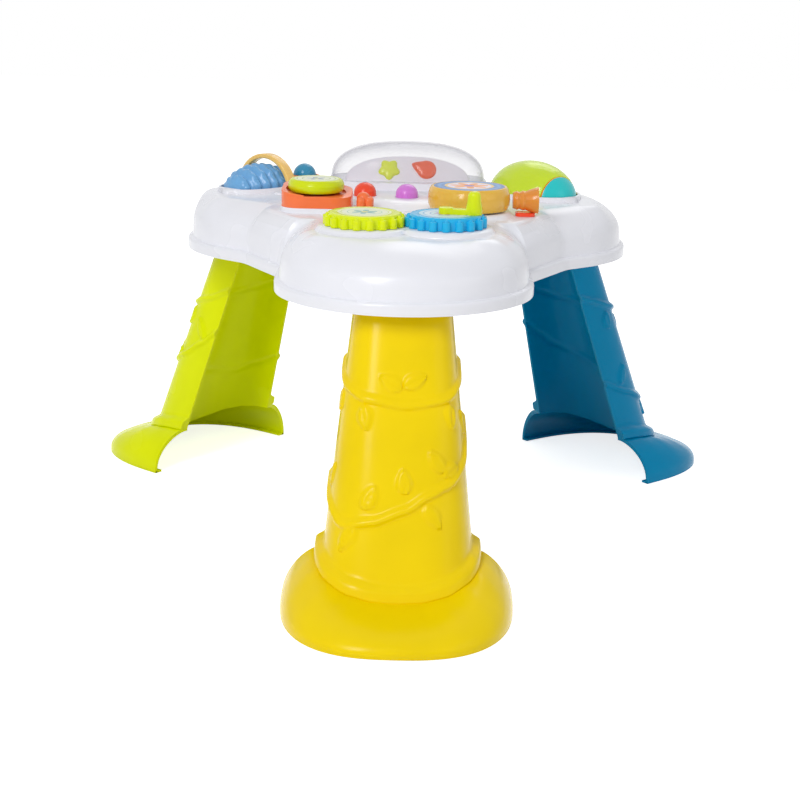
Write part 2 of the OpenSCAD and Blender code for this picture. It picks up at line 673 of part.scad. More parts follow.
module top_shell() {
    color("white")
    seat()
    top_body();
}
module deck_panel() {
    color("whitesmoke")
    difference() {
        union() {
            seat() {
                translate([0, 0, under_z]) linear_extrude(deck_t) polygon(deck_outline(seat_gap));
                for (x = [-1, 1])
                    translate([x * gear_pitch, -gear_y, 0]) {
                        translate([0, 0, deck_z - 1])
                        rotate_extrude()
                        polygon([[0, 0], [cup_r, 0], [cup_r, 1], [cup_r - 1.2, 1 + cup_h * 0.55], [cup_r - 3.5, 1 + cup_h], [0, 1 + cup_h]]);
                        translate([0, 0, boss_z]) cylinder(r = gear_shaft_r + 4, h = under_z - boss_z + 1);
                    }
                rise([drum_x, -drum_y], drum_r);
                translate([-pad_x + 1, -pad_y + 4, deck_z - 1]) rounded_slab(base_w + 2, base_d + 2, 21, rise_h + 1);
                rise([-knob_x, -knob_y], 13);
                rise([0, button_y], 61);
                for (x = [-1, 1]) {
                    rise([x * (dome_w - dome_d), dome_y], dome_d);
                    translate([x * (dome_w - dome_d), dome_y, deck_z - 1]) cylinder(r = dome_d + 2, h = step_h);
                }
                translate([dome_d - dome_w, dome_y - dome_d - 2, deck_z - 1])
                cube([2 * (dome_w - dome_d), 2 * dome_d + 4, step_h]);
                rise(ball_centre, ball_r + 7);
                for (p = [drum_pos, pad_pos])
                    translate([p[0], p[1], guide_low]) cylinder(r = stem_r + 3, h = under_z - guide_low + 1);
                for (p = screw_pts)
                    translate([p[0], p[1], cover_top]) cylinder(r = post_r, h = under_z - cover_top + 1);
                for (p = board_pts)
                    translate([p[0], p[1], board_top]) cylinder(r = 3.5, h = under_z - board_top + 1);
                translate([ball_centre[0], ball_centre[1], guide_low]) cylinder(r = pin_r + 3, h = under_z - guide_low + 1);
                translate(concat(on_lobe(180 - lobe_az, lobe_c + 11, -25), deck_z - 1)) cylinder(r = 7, h = 2.5);
            }
            below(lip_z) on_right() egg_well_outer();
            below(lip_z) on_left() rib_well_outer();
        }
        seat() {
            for (x = [-1, 1])
                translate([x * gear_pitch, -gear_y, boss_z - 1]) cylinder(r = gear_shaft_r + run_gap, h = 40);
            for (p = [drum_pos, pad_pos])
                translate([p[0], p[1], guide_low - 1]) cylinder(r = stem_r + run_gap, h = 60);
            translate([ball_centre[0], ball_centre[1], guide_low - 1]) cylinder(r = pin_r + run_gap, h = 40);
            for (p = button_pos)
                translate([p[0], p[1], under_z - 1]) cylinder(r = button_hole, h = 30);
            for (p = screw_pts)
                translate([p[0], p[1], cover_top - 1]) cylinder(r = screw_r, h = 13);
        }
        on_right() egg_well_inner();
        on_left() rib_well_inner();
    }
}
step_h = rise_h + dome_rise + 1;
// Low round rise on the deck with a sloping edge
module rise(p, r) {
    translate([p[0], p[1], deck_z - 1])
    rotate_extrude()
    polygon([[0, 0], [r + 5, 0], [r + 5, 1], [r + 2, 1 + rise_h * 0.6], [r, 1 + rise_h], [0, 1 + rise_h]]);
}
module bottom_cover() {
    color("lavender")
    seat()
    difference() {
        union() {
            translate([0, 0, cover_z]) linear_extrude(cover_t) polygon([for (i = [0 : len(base_line) - 1])
                base_line[i] + (shell_wall + seat_gap) * base_dir[i]]);
            for (a = [-90, lobe_az, 180 - lobe_az])
                rotate(a)
                translate([tenon_at, 0, cover_z])
                rounded_slab(tenon_d + 2 * (seat_gap + socket_wall), tenon_w + 2 * (seat_gap + socket_wall),
                    tenon_r + seat_gap + socket_wall, tenon_h + cover_t);
            translate([-pocket_w / 2 - box_wall, pocket_y - pocket_d / 2 - box_wall, cover_z])
            cube([pocket_w + 2 * box_wall, pocket_d + 2 * box_wall, cover_t + pocket_h + box_wall]);
            translate([0, -speaker_y, cover_z])
            difference() {
                cylinder(r = speaker_r + 3, h = cover_t + 5);
                translate([0, 0, cover_t]) cylinder(r = speaker_r + seat_gap, h = 10);
            }
            translate([0, door_y, cover_z]) cylinder(r = 4, h = cover_t + 8);
            translate([switch_x - 9.6, switch_y - 10.6, cover_z]) cube([19.2, 21.2 + switch_travel, cover_t + 5]);
        }
        for (a = [-90, lobe_az, 180 - lobe_az])
            rotate(a)
            translate([tenon_at, 0, cover_z - 1])
            rounded_slab(tenon_d + 2 * seat_gap, tenon_w + 2 * seat_gap, tenon_r + seat_gap, tenon_h + 10);
        translate([-pocket_w / 2, pocket_y - pocket_d / 2, cover_z + cover_t])
        cube([pocket_w, pocket_d, pocket_h]);
        translate([-pocket_w / 2 + 3, pocket_y - pocket_d / 2 - 1, cover_z - 1])
        cube([pocket_w - 6, pocket_d + 2, cover_t + 2]);
        for (i = [0 : 5])
            translate([14 * cos(60 * i), -speaker_y + 14 * sin(60 * i), cover_z - 1]) cylinder(r = 3.5, h = 10);
        translate([0, -speaker_y, cover_z - 1]) cylinder(r = 3.5, h = 10);
        for (p = screw_pts)
            translate([p[0], p[1], cover_z - 1]) cylinder(r = screw_r + 0.3, h = 10);
        translate([0, door_y, cover_z - 1]) cylinder(r = screw_r, h = 10);
        translate([switch_x - 4, switch_y - 4, cover_z - 1]) cube([8, 8 + switch_travel, cover_t + 2]);
        translate([switch_x - 7 - move_gap, switch_y - 8 - move_gap, cover_top])
        cube([14 + 2 * move_gap, 16 + switch_travel + 2 * move_gap, 2.5 + move_gap]);
    }
}
switch_x = 62;
switch_y = 12;
switch_travel = 4;
module front_leg() {
    color("gold") seat() rotate(-90) leg();
}
module right_leg() {
    color("steelblue") seat() rotate(lobe_az) leg();
}
module left_leg() {
    color("yellowgreen") seat() rotate(180 - lobe_az) leg();
}
module lime_gear() {
    color("yellowgreen") gear_at(-gear_pitch) gear(0);
}
module lime_gear_label() {
    color("gold") gear_at(-gear_pitch) gear_label();
}
module lime_gear_clip() {
    color("dimgray") gear_at(-gear_pitch) gear_clip();
}
module blue_gear() {
    color("deepskyblue") gear_at(gear_pitch) gear(180 + 180 / gear_teeth);
}
module blue_gear_label() {
    color("turquoise") gear_at(gear_pitch) gear_label() crank_foot(5);
}
module blue_gear_clip() {
    color("dimgray") gear_at(gear_pitch) gear_clip();
}
module crank_foot(h) {
    translate([0, 0, gear_h - label_t]) cylinder(r = 7, h = h);
}
module crank_handle() {
    color("greenyellow")
    gear_at(gear_pitch) {
        crank_foot(label_t + arm_h + 1);
        rotate(-8) {
            translate([0, 0, gear_h])
            linear_extrude(arm_h) {
                circle(7);
                translate([0, -6]) square([crank_len, 12]);
                translate([crank_len, 0]) circle(knob_r);
            }
            translate([crank_len, 0, gear_h + arm_h])
            rotate_extrude()
            polygon([[0, -1], [knob_r, -1], [knob_r, 0], [knob_r - 1.6, knob_h * 0.55], [knob_r - 2, knob_h - 3],
                [knob_r - 3, knob_h - 1], [knob_r - 4.5, knob_h], [0, knob_h]]);
        }
    }
}
module pad_base() {
    color("orangered")
    seat()
    difference() {
        translate([-pad_x + 1, -pad_y + 4, rise_z]) rounded_slab(base_w, base_d, 20, base_h + 9);
        translate([-pad_x, -pad_y, pad_base_z]) cylinder(r = pad_r + 2, h = 30);
        translate([-pad_x, -pad_y, pad_base_z + 3])
        rotate(40)
        rotate([6, 0, 0])
        translate([-90, -90, 0])
        cube([180, 180, 40]);
        translate([-pad_x, -pad_y, rise_z - 1]) cylinder(r = stem_r + 2, h = 40);
    }
}
module orange_knob() {
    color("darkorange")
    seat()
    translate([-knob_x, -knob_y, rise_z]) {
        cylinder(r = 6, h = 6);
        for (a = [-110, -40, 30])
            translate([7 * cos(a), 7 * sin(a), 0]) {
                cylinder(r = 4.5, h = 6);
                translate([0, 0, 6]) sphere(r = 4.5, $fn = 32);
            }
        translate([0, 0, 8]) sphere(r = 7, $fn = 32);
    }
}
module lime_pad() {
    color("greenyellow")
    seat() translate([-pad_x, -pad_y, pad_z]) drum(pad_r, pad_top - pad_z, stem_low - pad_z);
}
module lime_pad_label() {
    color("khaki") seat() translate(pad_pos) disc(pad_r - 6, pad_top - label_t);
}
module lime_pad_bellows() {
    color("lightgray") seat() translate(pad_pos) bellows(13, pad_base_z, pad_top - 3, 3);
}
module amber_drum() {
    color("orange", 0.8)
    seat() translate([drum_x, -drum_y, drum_z]) drum(drum_r, drum_top - drum_z, stem_low - drum_z);
}
module amber_drum_label() {
    color("cornflowerblue") seat() translate(drum_pos) disc(drum_r - 6, drum_top - label_t);
}
module amber_drum_bellows() {
    color("lightgray") seat() translate(drum_pos) bellows(20, rise_z, drum_top - 3, 4);
}
horn_z = deck_z + 15.5;
horn_base_h = 3.5;
module amber_horn() {
    color("orange", 0.8)
    seat()
    difference() {
        translate([horn_x, -horn_y, horn_z])
        rotate([0, 90, 0])
        rotate_extrude()
        polygon([[0, -13], [8, -13], [9.5, -9], [8.5, -6], [10, -3], [9.4, 0], [11.5, 5], [horn_r, 13],
            [horn_r - 2, 13], [9, 6], [6, 0], [0, 0]]);
        translate([horn_x - 30, -horn_y - 30, rise_z - 10]) cube([60, 60, 10 - rise_h + horn_base_h]);
    }
}
module horn_base() {
    color("red")
    seat()
    translate([horn_x, -horn_y, deck_z]) rounded_slab(20, 20, 6, horn_base_h);
}
module red_button() {
    color("tomato") seat() translate(button_pos[0]) button();
}
module purple_button() {
    color("orchid") seat() translate(button_pos[1]) button();
}
module yellow_button() {
    color("gold") seat() translate(button_pos[2]) button();
}
module red_bellows() {
    color("lightgray") seat() translate(button_pos[0]) bellows(8, board_top, flange_z - flange_t, 3);
}
module purple_bellows() {
    color("lightgray") seat() translate(button_pos[1]) bellows(8, board_top, flange_z - flange_t, 3);
}
module yellow_bellows() {
    color("lightgray") seat() translate(button_pos[2]) bellows(8, board_top, flange_z - flange_t, 3);
}
module clear_dome() {
    color("lightcyan", 0.3) seat() dome_shell();
}
module dome_console() {
    color("white")
    difference() {
        on_panel()
        translate([0, 0, -console_d])
        linear_extrude(console_d)
        intersection() {
            translate([0, console_h - console_r]) circle(console_r, $fn = 96);
            translate([-console_w - 10, -30]) square([2 * console_w + 20, 90]);
        }
        translate([-200, -200, dome_z - 100]) cube([400, 600, 100]);
    }
}
module star_light() {
    color("yellowgreen")
    on_panel()
    translate([-20, 14, 0])
    linear_extrude(light_out)
    polygon([for (i = [0 : 9]) (i % 2 == 0 ? 11.5 : 6) * unit(90 + 36 * i)]);
}
module drop_light() {
    color("tomato")
    on_panel()
    translate([20, 14, 0])
    rotate(-28)
    linear_extrude(light_out)
    polygon([for (a = [-120 : 10 : 120]) 9 * unit(a), [-17, 0]]);
}
module egg_roller() {
    color("yellowgreen", 0.9)
    on_right()
    difference() {
        revolve(egg_profile(-egg_cut, cap_at - 1.5, 0));
        axle(egg_l);
    }
}
module egg_ring() {
    color("orange")
    on_right()
    translate([0, 0, cap_at - 1.5])
    difference() {
        cylinder(r = egg_env(cap_at, egg_l, egg_r), h = 1.5);
        translate([0, 0, -1]) cylinder(r = axle_r, h = 4);
    }
}
module egg_cap() {
    color("turquoise")
    on_right()
    difference() {
        revolve(egg_profile(cap_at, egg_cut, 0));
        axle(egg_l);
    }
}
module egg_axle() {
    color("silver") on_right() axle(egg_cut);
}
module ribbed_roller() {
    color("skyblue")
    on_left()
    difference() {
        revolve(rib_profile(0, 1));
        axle(rib_l);
    }
}
module rib_axle() {
    color("silver") on_left() axle(rib_l);
}
module orange_arch() {
    color("orange")
    difference() {
        on_left()
        translate([0, 0, arch_u - arch_w / 2])
        difference() {
            cylinder(r = arch_in + arch_t, h = arch_w);
            translate([0, 0, -1]) cylinder(r = arch_in, h = arch_w + 2);
        }
        translate([-400, -400, deck_z - 600]) cube([800, 800, 600]);
        below(lip_z) on_left() rib_well_outer();
    }
}
ball_z = rise_z + 6;
pin_r = 3;
module spinner_ball() {
    color("steelblue")
    seat()
    translate([ball_centre[0], ball_centre[1], ball_z]) {
        difference() {
            sphere(ball_r);
            translate([-20, -20, -40 - 5]) cube([40, 40, 40]);
        }
        translate([0, 0, guide_low - move_gap - 2 - ball_z]) {
            cylinder(r = pin_r, h = ball_z - guide_low + move_gap);
            cylinder(r = pin_r + 1.5, h = 2);
        }
    }
}
module spinner_ring() {
    color("orange")
    seat()
    translate([ball_centre[0], ball_centre[1], rise_z])
    rotate_extrude()
    polygon([[ball_r + 0.8, 0], [ball_r + 6, 0], [ball_r + 5.4, 4], [ball_r + 3, 6.5], [ball_r + 0.8, 6.5]]);
}
module circuit_board() {
    color("green")
    seat()
    difference() {
        translate([-board_w / 2, -board_front, board_top - board_t]) cube([board_w, board_front + board_back, board_t]);
        for (p = board_pts)
            translate([p[0], p[1], board_top - board_t - 1]) cylinder(r = 1.2, h = board_t + 2);
    }
}
module board_screws() {
    color("silver")
    seat()
    for (p = board_pts)
        translate([p[0], p[1], board_top - board_t]) {
            cylinder(r = 1.2, h = board_t);
            translate([0, 0, -1.5]) cylinder(r = 2.4, h = 1.5);
        }
}
module switches() {
    color("black")
    seat()
    for (p = concat([drum_pos, pad_pos], button_pos))
        translate([p[0] - 3, p[1] - 3, board_top]) cube([6, 6, switch_h]);
}
module speaker() {
    color("dimgray")
    seat()
    translate([0, -speaker_y, cover_top]) {
        cylinder(r = speaker_r, h = 3);
        translate([0, 0, 3]) cylinder(r1 = speaker_r - 3, r2 = 13, h = 8, $fn = 48);
        translate([0, 0, 11]) cylinder(r = 13, h = 6);
    }
}
module battery_cells() {
    color("goldenrod")
    seat()
    for (i = [0 : cell_n - 1])
        translate([-cell_l / 2, pocket_y + (i - (cell_n - 1) / 2) * 2 * (cell_r + seat_gap), cover_top + cell_r])
        rotate([0, 90, 0])
        cylinder(r = cell_r, h = cell_l);
}
module battery_contacts() {
    color("silver")
    seat()
    for (s = [-1, 1])
        translate([s > 0 ? cell_l / 2 : -pocket_w / 2, pocket_y - pocket_d / 2 + 2, cover_top + 1])
        cube([pocket_w / 2 - cell_l / 2, pocket_d - 4, 2 * cell_r - 2]);
}
module battery_door() {
    color("lavender")
    seat()
    difference() {
        union() {
            translate([-pocket_w / 2 + 3 + seat_gap, pocket_y - pocket_d / 2 - 1 + seat_gap, cover_z - 0.5])
            cube([pocket_w - 6 - 2 * seat_gap, pocket_d + 2 - 2 * seat_gap, cover_t + 0.5]);
            translate([-pocket_w / 2 + 1, pocket_y - pocket_d / 2 - 3, cover_z - 1]) cube([pocket_w - 2, pocket_d + 6, 1]);
            translate([-8, pocket_y, cover_z - 1]) cube([16, door_y - pocket_y + 5, 1]);
        }
        translate([0, door_y, cover_z - 2]) cylinder(r = screw_r, h = 3);
    }
}
module door_screw() {
    color("silver")
    seat()
    translate([0, door_y, cover_z - 2]) {
        cylinder(r = 3.2, h = 1);
        cylinder(r = screw_r, h = 10);
    }
}
module power_switch() {
    color("black")
    seat()
    translate([switch_x, switch_y, 0]) {
        translate([-3.4, -3.4, cover_z - 1.5]) cube([6.8, 6.8, cover_t + 1.5 + 0.5]);
        translate([-7, -8, cover_top + 0.5]) cube([14, 16, 2]);
    }
}
module case_screws() {
    color("silver")
    seat()
    for (p = screw_pts)
        translate([p[0], p[1], cover_z - 1.6]) {
            cylinder(r = 3.2, h = 1.6);
            cylinder(r = screw_r, h = 1.6 + cover_t + 11);
        }
}
top_shell();
deck_panel();
bottom_cover();
front_leg();
right_leg();
left_leg();
lime_gear();
lime_gear_label();
lime_gear_clip();
blue_gear();
blue_gear_label();
blue_gear_clip();
crank_handle();
pad_base();
orange_knob();
lime_pad();
lime_pad_label();
lime_pad_bellows();
amber_drum();
amber_drum_label();
amber_drum_bellows();
amber_horn();
horn_base();
red_button();
purple_button();
yellow_button();
red_bellows();
purple_bellows();
yellow_bellows();
clear_dome();
dome_console();
star_light();
drop_light();
egg_roller();
egg_ring();
egg_cap();
egg_axle();
ribbed_roller();
rib_axle();
orange_arch();
spinner_ball();
spinner_ring();
circuit_board();
board_screws();
switches();
speaker();
battery_cells();
battery_contacts();
battery_door();
door_screw();
power_switch();
case_screws();
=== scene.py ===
import bpy
import math
from mathutils import Matrix, Vector


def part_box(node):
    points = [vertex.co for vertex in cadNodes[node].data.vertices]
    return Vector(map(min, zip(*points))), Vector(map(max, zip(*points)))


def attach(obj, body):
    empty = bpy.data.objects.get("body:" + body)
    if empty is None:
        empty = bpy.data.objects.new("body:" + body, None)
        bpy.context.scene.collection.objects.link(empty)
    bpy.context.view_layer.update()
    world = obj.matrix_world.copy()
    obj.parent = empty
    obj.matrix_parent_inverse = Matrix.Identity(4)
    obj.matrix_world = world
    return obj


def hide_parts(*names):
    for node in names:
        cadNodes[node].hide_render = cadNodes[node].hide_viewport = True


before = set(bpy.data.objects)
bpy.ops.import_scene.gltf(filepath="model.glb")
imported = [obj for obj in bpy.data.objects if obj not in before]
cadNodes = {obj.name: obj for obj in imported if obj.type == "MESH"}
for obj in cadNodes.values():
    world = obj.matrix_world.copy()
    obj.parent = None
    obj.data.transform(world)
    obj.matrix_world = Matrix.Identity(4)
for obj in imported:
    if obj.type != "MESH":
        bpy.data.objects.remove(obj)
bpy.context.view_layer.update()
print("frame loaded")

mm = 0.001  # sizes below are in mm and degrees, meshes in metres
tableAxisY = 56.7009  # where the three legs' centre lines meet


# Selection and small mesh helpers
def selectOnly(piece):
    bpy.ops.object.select_all(action="DESELECT")
    piece.select_set(True)
    bpy.context.view_layer.objects.active = piece


def editAll(piece):
    selectOnly(piece)
    bpy.ops.object.mode_set(mode="EDIT")
    bpy.ops.mesh.select_all(action="SELECT")


def editDone():
    bpy.ops.object.mode_set(mode="OBJECT")


def mergeDoubles(piece, distance):
    editAll(piece)
    bpy.ops.mesh.remove_doubles(threshold=distance)
    editDone()


def faceOutward(piece):
    editAll(piece)
    bpy.ops.mesh.normals_make_consistent(inside=False)
    editDone()


def fillAcross(piece, chosen):  # one face over the vertices that the test chooses
    editAll(piece)
    bpy.ops.mesh.select_all(action="DESELECT")
    editDone()
    for vertex in piece.data.vertices:
        vertex.select = chosen(vertex)
    bpy.ops.object.mode_set(mode="EDIT")
    bpy.ops.mesh.edge_face_add()
    editDone()


def applyModifier(piece, kind, **settings):
    modifier = piece.modifiers.new("work", kind)
    for key, value in settings.items():
        setattr(modifier, key, value)
    selectOnly(piece)
    bpy.ops.object.modifier_apply(modifier="work")


def newestAs(name):
    piece = bpy.context.view_layer.objects.active
    piece.name = name
    return piece


def settle(piece):  # place, turn and size go into the mesh
    selectOnly(piece)
    bpy.ops.object.transform_apply(location=True, rotation=True, scale=True)


def joinAll(pieces):
    bpy.ops.object.select_all(action="DESELECT")
    for piece in pieces:
        piece.select_set(True)
    bpy.context.view_layer.objects.active = pieces[0]
    bpy.ops.object.join()
    return pieces[0]


def smooth(piece, degrees=35):
    selectOnly(piece)
    bpy.ops.object.shade_smooth_by_angle(angle=math.radians(degrees))


def wear(piece, material):
    piece.data.materials.clear()
    piece.data.materials.append(material)


def mappedGrid(name, columns, rows, place):  # place gives each grid crossing its point in metres
    bpy.ops.object.select_all(action="DESELECT")
    bpy.ops.mesh.primitive_grid_add(x_subdivisions=columns, y_subdivisions=rows, size=2)
    piece = newestAs(name)
    for vertex in piece.data.vertices:
        across = round((vertex.co.x + 1) / 2 * columns)
        up = round((vertex.co.y + 1) / 2 * rows)
        vertex.co = place(across, up)
    return piece


# Materials
def toLinear(code):
    parts = [int(code[i:i + 2], 16) / 255 for i in (0, 2, 4)]
    return [p / 12.92 if p <= 0.04045 else ((p + 0.055) / 1.055) ** 2.4 for p in parts] + [1.0]


def addNode(tree, kind, values=None, links=None, **settings):
    node = tree.nodes.new(kind)
    for key, value in settings.items():
        setattr(node, key, value)
    for key, value in (values or {}).items():
        node.inputs[key].default_value = value
    for key, socket in (links or {}).items():
        tree.links.new(socket, node.inputs[key])
    return node


def startMaterial(name):
    material = bpy.data.materials.new(name)
    material.use_nodes = True
    material.node_tree.nodes.clear()
    return material, material.node_tree


def shadeOf(code, factor):
    return [min(1.0, c * factor) for c in toLinear(code)[:3]] + [1.0]


def twoTone(tree, socket, low, high, ends=(0.3, 0.7)):
    ramp = addNode(tree, "ShaderNodeValToRGB", links={"Fac": socket})
    ramp.color_ramp.elements[0].position = ends[0]
    ramp.color_ramp.elements[0].color = low
    ramp.color_ramp.elements[1].position = ends[1]
    ramp.color_ramp.elements[1].color = high
    return ramp.outputs["Color"]


# Injection-moulded ABS: a glossy skin with broad, faint flow marks and a fine orange-peel grain,
# drawn coarser than the real one so that it shows; glow lets light sink in, clear lets some through
def mouldedAbs(name, code, roughness=0.28, peelMm=1.6, peel=0.02, flowMm=60, vary=0.04, glow=0.0, clear=0.0,
               gloss=0.35):
    material, tree = startMaterial(name)
    place = addNode(tree, "ShaderNodeTexCoord")
    flow = addNode(tree, "ShaderNodeTexNoise", {"Scale": 1000 / flowMm, "Detail": 2.0},
                   {"Vector": place.outputs["Object"]})
    grain = addNode(tree, "ShaderNodeTexNoise", {"Scale": 1000 / peelMm, "Detail": 3.0},
                    {"Vector": place.outputs["Object"]})
    colour = twoTone(tree, flow.outputs["Fac"], shadeOf(code, 1 - vary), shadeOf(code, 1 + vary))
    rough = addNode(tree, "ShaderNodeMapRange", {"To Min": roughness - 0.04, "To Max": roughness + 0.05},
                    {"Value": flow.outputs["Fac"]})
    bump = addNode(tree, "ShaderNodeBump", {"Strength": 0.25, "Distance": peel * mm},
                   {"Height": grain.outputs["Fac"]})
    shader = addNode(tree, "ShaderNodeBsdfPrincipled",
                     {"IOR": 1.53, "Subsurface Weight": glow, "Subsurface Radius": (4 * mm, 4 * mm, 4 * mm),
                      "Subsurface Scale": 1.0, "Transmission Weight": clear, "Specular IOR Level": gloss},
                     {"Base Color": colour, "Roughness": rough.outputs["Result"],
                      "Normal": bump.outputs["Normal"]})
    addNode(tree, "ShaderNodeOutputMaterial", links={"Surface": shader.outputs["BSDF"]})
    return material


# Clear polycarbonate: a thin, water-clear blown cover, nearly unseen face on and whiter where it turns away
def clearPolycarbonate(name, code, faceOn, edgeOn, rippleMm=45, steepness=2.2):
    material, tree = startMaterial(name)
    place = addNode(tree, "ShaderNodeTexCoord")
    ripple = addNode(tree, "ShaderNodeTexNoise", {"Scale": 1000 / rippleMm, "Detail": 1.0},
                     {"Vector": place.outputs["Object"]})
    rough = addNode(tree, "ShaderNodeMapRange", {"To Min": 0.03, "To Max": 0.09},
                    {"Value": ripple.outputs["Fac"]})
    bump = addNode(tree, "ShaderNodeBump", {"Strength": 0.15, "Distance": 0.2 * mm},
                   {"Height": ripple.outputs["Fac"]})
    tint = twoTone(tree, ripple.outputs["Fac"], shadeOf(code, 0.97), shadeOf(code, 1.0))
    turned = addNode(tree, "ShaderNodeLayerWeight", {"Blend": 0.5})
    steep = addNode(tree, "ShaderNodeMath", {1: steepness}, {0: turned.outputs["Facing"]}, operation="POWER")
    cover = addNode(tree, "ShaderNodeMapRange", {"To Min": faceOn, "To Max": edgeOn},
                    {"Value": steep.outputs["Value"]})
    shader = addNode(tree, "ShaderNodeBsdfPrincipled", {"IOR": 1.45},
                     {"Base Color": tint, "Roughness": rough.outputs["Result"],
                      "Normal": bump.outputs["Normal"], "Alpha": cover.outputs["Result"]})
    addNode(tree, "ShaderNodeOutputMaterial", links={"Surface": shader.outputs["BSDF"]})
    return material


# Zinc-plated steel: bright metal with fine turning lines
def platedSteel(name, code, roughness, lineMm=0.8):
    material, tree = startMaterial(name)
    place = addNode(tree, "ShaderNodeTexCoord")
    lines = addNode(tree, "ShaderNodeTexNoise", {"Scale": 1000 / lineMm, "Detail": 2.0},
                    {"Vector": place.outputs["Object"]})
    rough = addNode(tree, "ShaderNodeMapRange", {"To Min": roughness, "To Max": roughness + 0.12},
                    {"Value": lines.outputs["Fac"]})
    tint = twoTone(tree, lines.outputs["Fac"], shadeOf(code, 0.92), shadeOf(code, 1.03))
    shader = addNode(tree, "ShaderNodeBsdfPrincipled", {"Metallic": 1.0},
                     {"Base Color": tint, "Roughness": rough.outputs["Result"]})
    addNode(tree, "ShaderNodeOutputMaterial", links={"Surface": shader.outputs["BSDF"]})
    return material


# Printed vinyl disc: flat ink in rings and a plain flower around its own centre, under a light gloss
def printedVinyl(name, centre, ground, rings, petals, grainMm=2.0):
    material, tree = startMaterial(name)
    place = addNode(tree, "ShaderNodeTexCoord")
    local = addNode(tree, "ShaderNodeVectorMath", links={0: place.outputs["Object"]}, operation="SUBTRACT")
    local.inputs[1].default_value = centre
    parts = addNode(tree, "ShaderNodeSeparateXYZ", links={"Vector": local.outputs["Vector"]})
    flat = addNode(tree, "ShaderNodeCombineXYZ", links={"X": parts.outputs["X"], "Y": parts.outputs["Y"]})
    away = addNode(tree, "ShaderNodeVectorMath", links={0: flat.outputs["Vector"]}, operation="LENGTH")
    reach = addNode(tree, "ShaderNodeMath", {1: 1 / (petals["disc"] * mm)}, {0: away.outputs["Value"]},
                    operation="MULTIPLY")
    ramp = addNode(tree, "ShaderNodeValToRGB", links={"Fac": reach.outputs["Value"]})
    ramp.color_ramp.interpolation = "CONSTANT"
    ramp.color_ramp.elements[0].color = toLinear(ground)
    ramp.color_ramp.elements[1].position = rings[0][0]
    ramp.color_ramp.elements[1].color = toLinear(rings[0][1])
    for position, code in rings[1:]:
        ramp.color_ramp.elements.new(position).color = toLinear(code)
    turn = addNode(tree, "ShaderNodeMath", links={0: parts.outputs["Y"], 1: parts.outputs["X"]},
                   operation="ARCTAN2")
    wave = addNode(tree, "ShaderNodeMath", {1: petals["count"] / 2, 2: petals["turn"]},
                   {0: turn.outputs["Value"]}, operation="MULTIPLY_ADD")
    lobe = addNode(tree, "ShaderNodeMath", links={0: wave.outputs["Value"]}, operation="SINE")
    size = addNode(tree, "ShaderNodeMath", links={0: lobe.outputs["Value"]}, operation="ABSOLUTE")
    edge = addNode(tree, "ShaderNodeMath", {1: petals["length"], 2: petals["hub"]},
                   {0: size.outputs["Value"]}, operation="MULTIPLY_ADD")
    inside = addNode(tree, "ShaderNodeMath", links={0: reach.outputs["Value"], 1: edge.outputs["Value"]},
                     operation="LESS_THAN")
    heart = addNode(tree, "ShaderNodeMath", {1: petals["hub"] * 0.8}, {0: reach.outputs["Value"]},
                    operation="LESS_THAN")
    flower = addNode(tree, "ShaderNodeMixRGB", {"Color2": toLinear(petals["colour"])},
                     {"Fac": inside.outputs["Value"], "Color1": ramp.outputs["Color"]})
    whole = addNode(tree, "ShaderNodeMixRGB", {"Color2": toLinear(petals["heart"])},
                    {"Fac": heart.outputs["Value"], "Color1": flower.outputs["Color"]})
    grain = addNode(tree, "ShaderNodeTexNoise", {"Scale": 1000 / grainMm, "Detail": 2.0},
                    {"Vector": place.outputs["Object"]})
    bump = addNode(tree, "ShaderNodeBump", {"Strength": 0.2, "Distance": 0.02 * mm},
                   {"Height": grain.outputs["Fac"]})
    shader = addNode(tree, "ShaderNodeBsdfPrincipled", {"Roughness": 0.34, "IOR": 1.5},
                     {"Base Color": whole.outputs["Color"], "Normal": bump.outputs["Normal"]})
    addNode(tree, "ShaderNodeOutputMaterial", links={"Surface": shader.outputs["BSDF"]})
    return material


# White casing: clean and glossy above, a duller fine texture on the cover beneath
whiteAbs = mouldedAbs("whiteAbs", "F0F1F8", 0.26, vary=0.012, gloss=0.5)
# The console's white is painted lighter than the casing's white. This painted light makes up for the shade
# that the clear dome casts on the console.
consolePaintedLightAbs = mouldedAbs("consolePaintedLightAbs", "F8F5FD", 0.3, vary=0.012, gloss=0.5)
coverAbs = mouldedAbs("coverAbs", "E9E9EF", 0.5, peelMm=2.2, peel=0.08, vary=0.015)
# Blown polyethylene legs: waxy, with weak highlights and some light sinking in
blown = {"peelMm": 2.4, "peel": 0.05, "vary": 0.03}
yellowLeg = mouldedAbs("yellowBlownPe", "F8D800", 0.2, glow=0.12, gloss=0.13, **blown)
limeLeg = mouldedAbs("limeBlownPe", "EAF400", 0.26, glow=0.25, gloss=0.08, **blown)
blueLeg = mouldedAbs("blueBlownPe", "008CBC", 0.24, glow=0.12, gloss=0.07, **blown)
# Toys of coloured ABS: a bright, even colour under a soft gloss
limeAbs = mouldedAbs("limeAbs", "E2F00C", 0.22, glow=0.1, gloss=0.25)
padAbs = mouldedAbs("padAbs", "D6E400", 0.22, glow=0.1, gloss=0.25)
blueAbs = mouldedAbs("blueGearAbs", "1CB8EC", 0.24, gloss=0.3)
orangeAbs = mouldedAbs("orangeAbs", "FF7A40", 0.25, glow=0.08)
redAbs = mouldedAbs("redAbs", "FA4A24", 0.25)
purpleAbs = mouldedAbs("purpleAbs", "DC80E2", 0.2, glow=0.1)
yellowAbs = mouldedAbs("yellowAbs", "F6C623", 0.24)
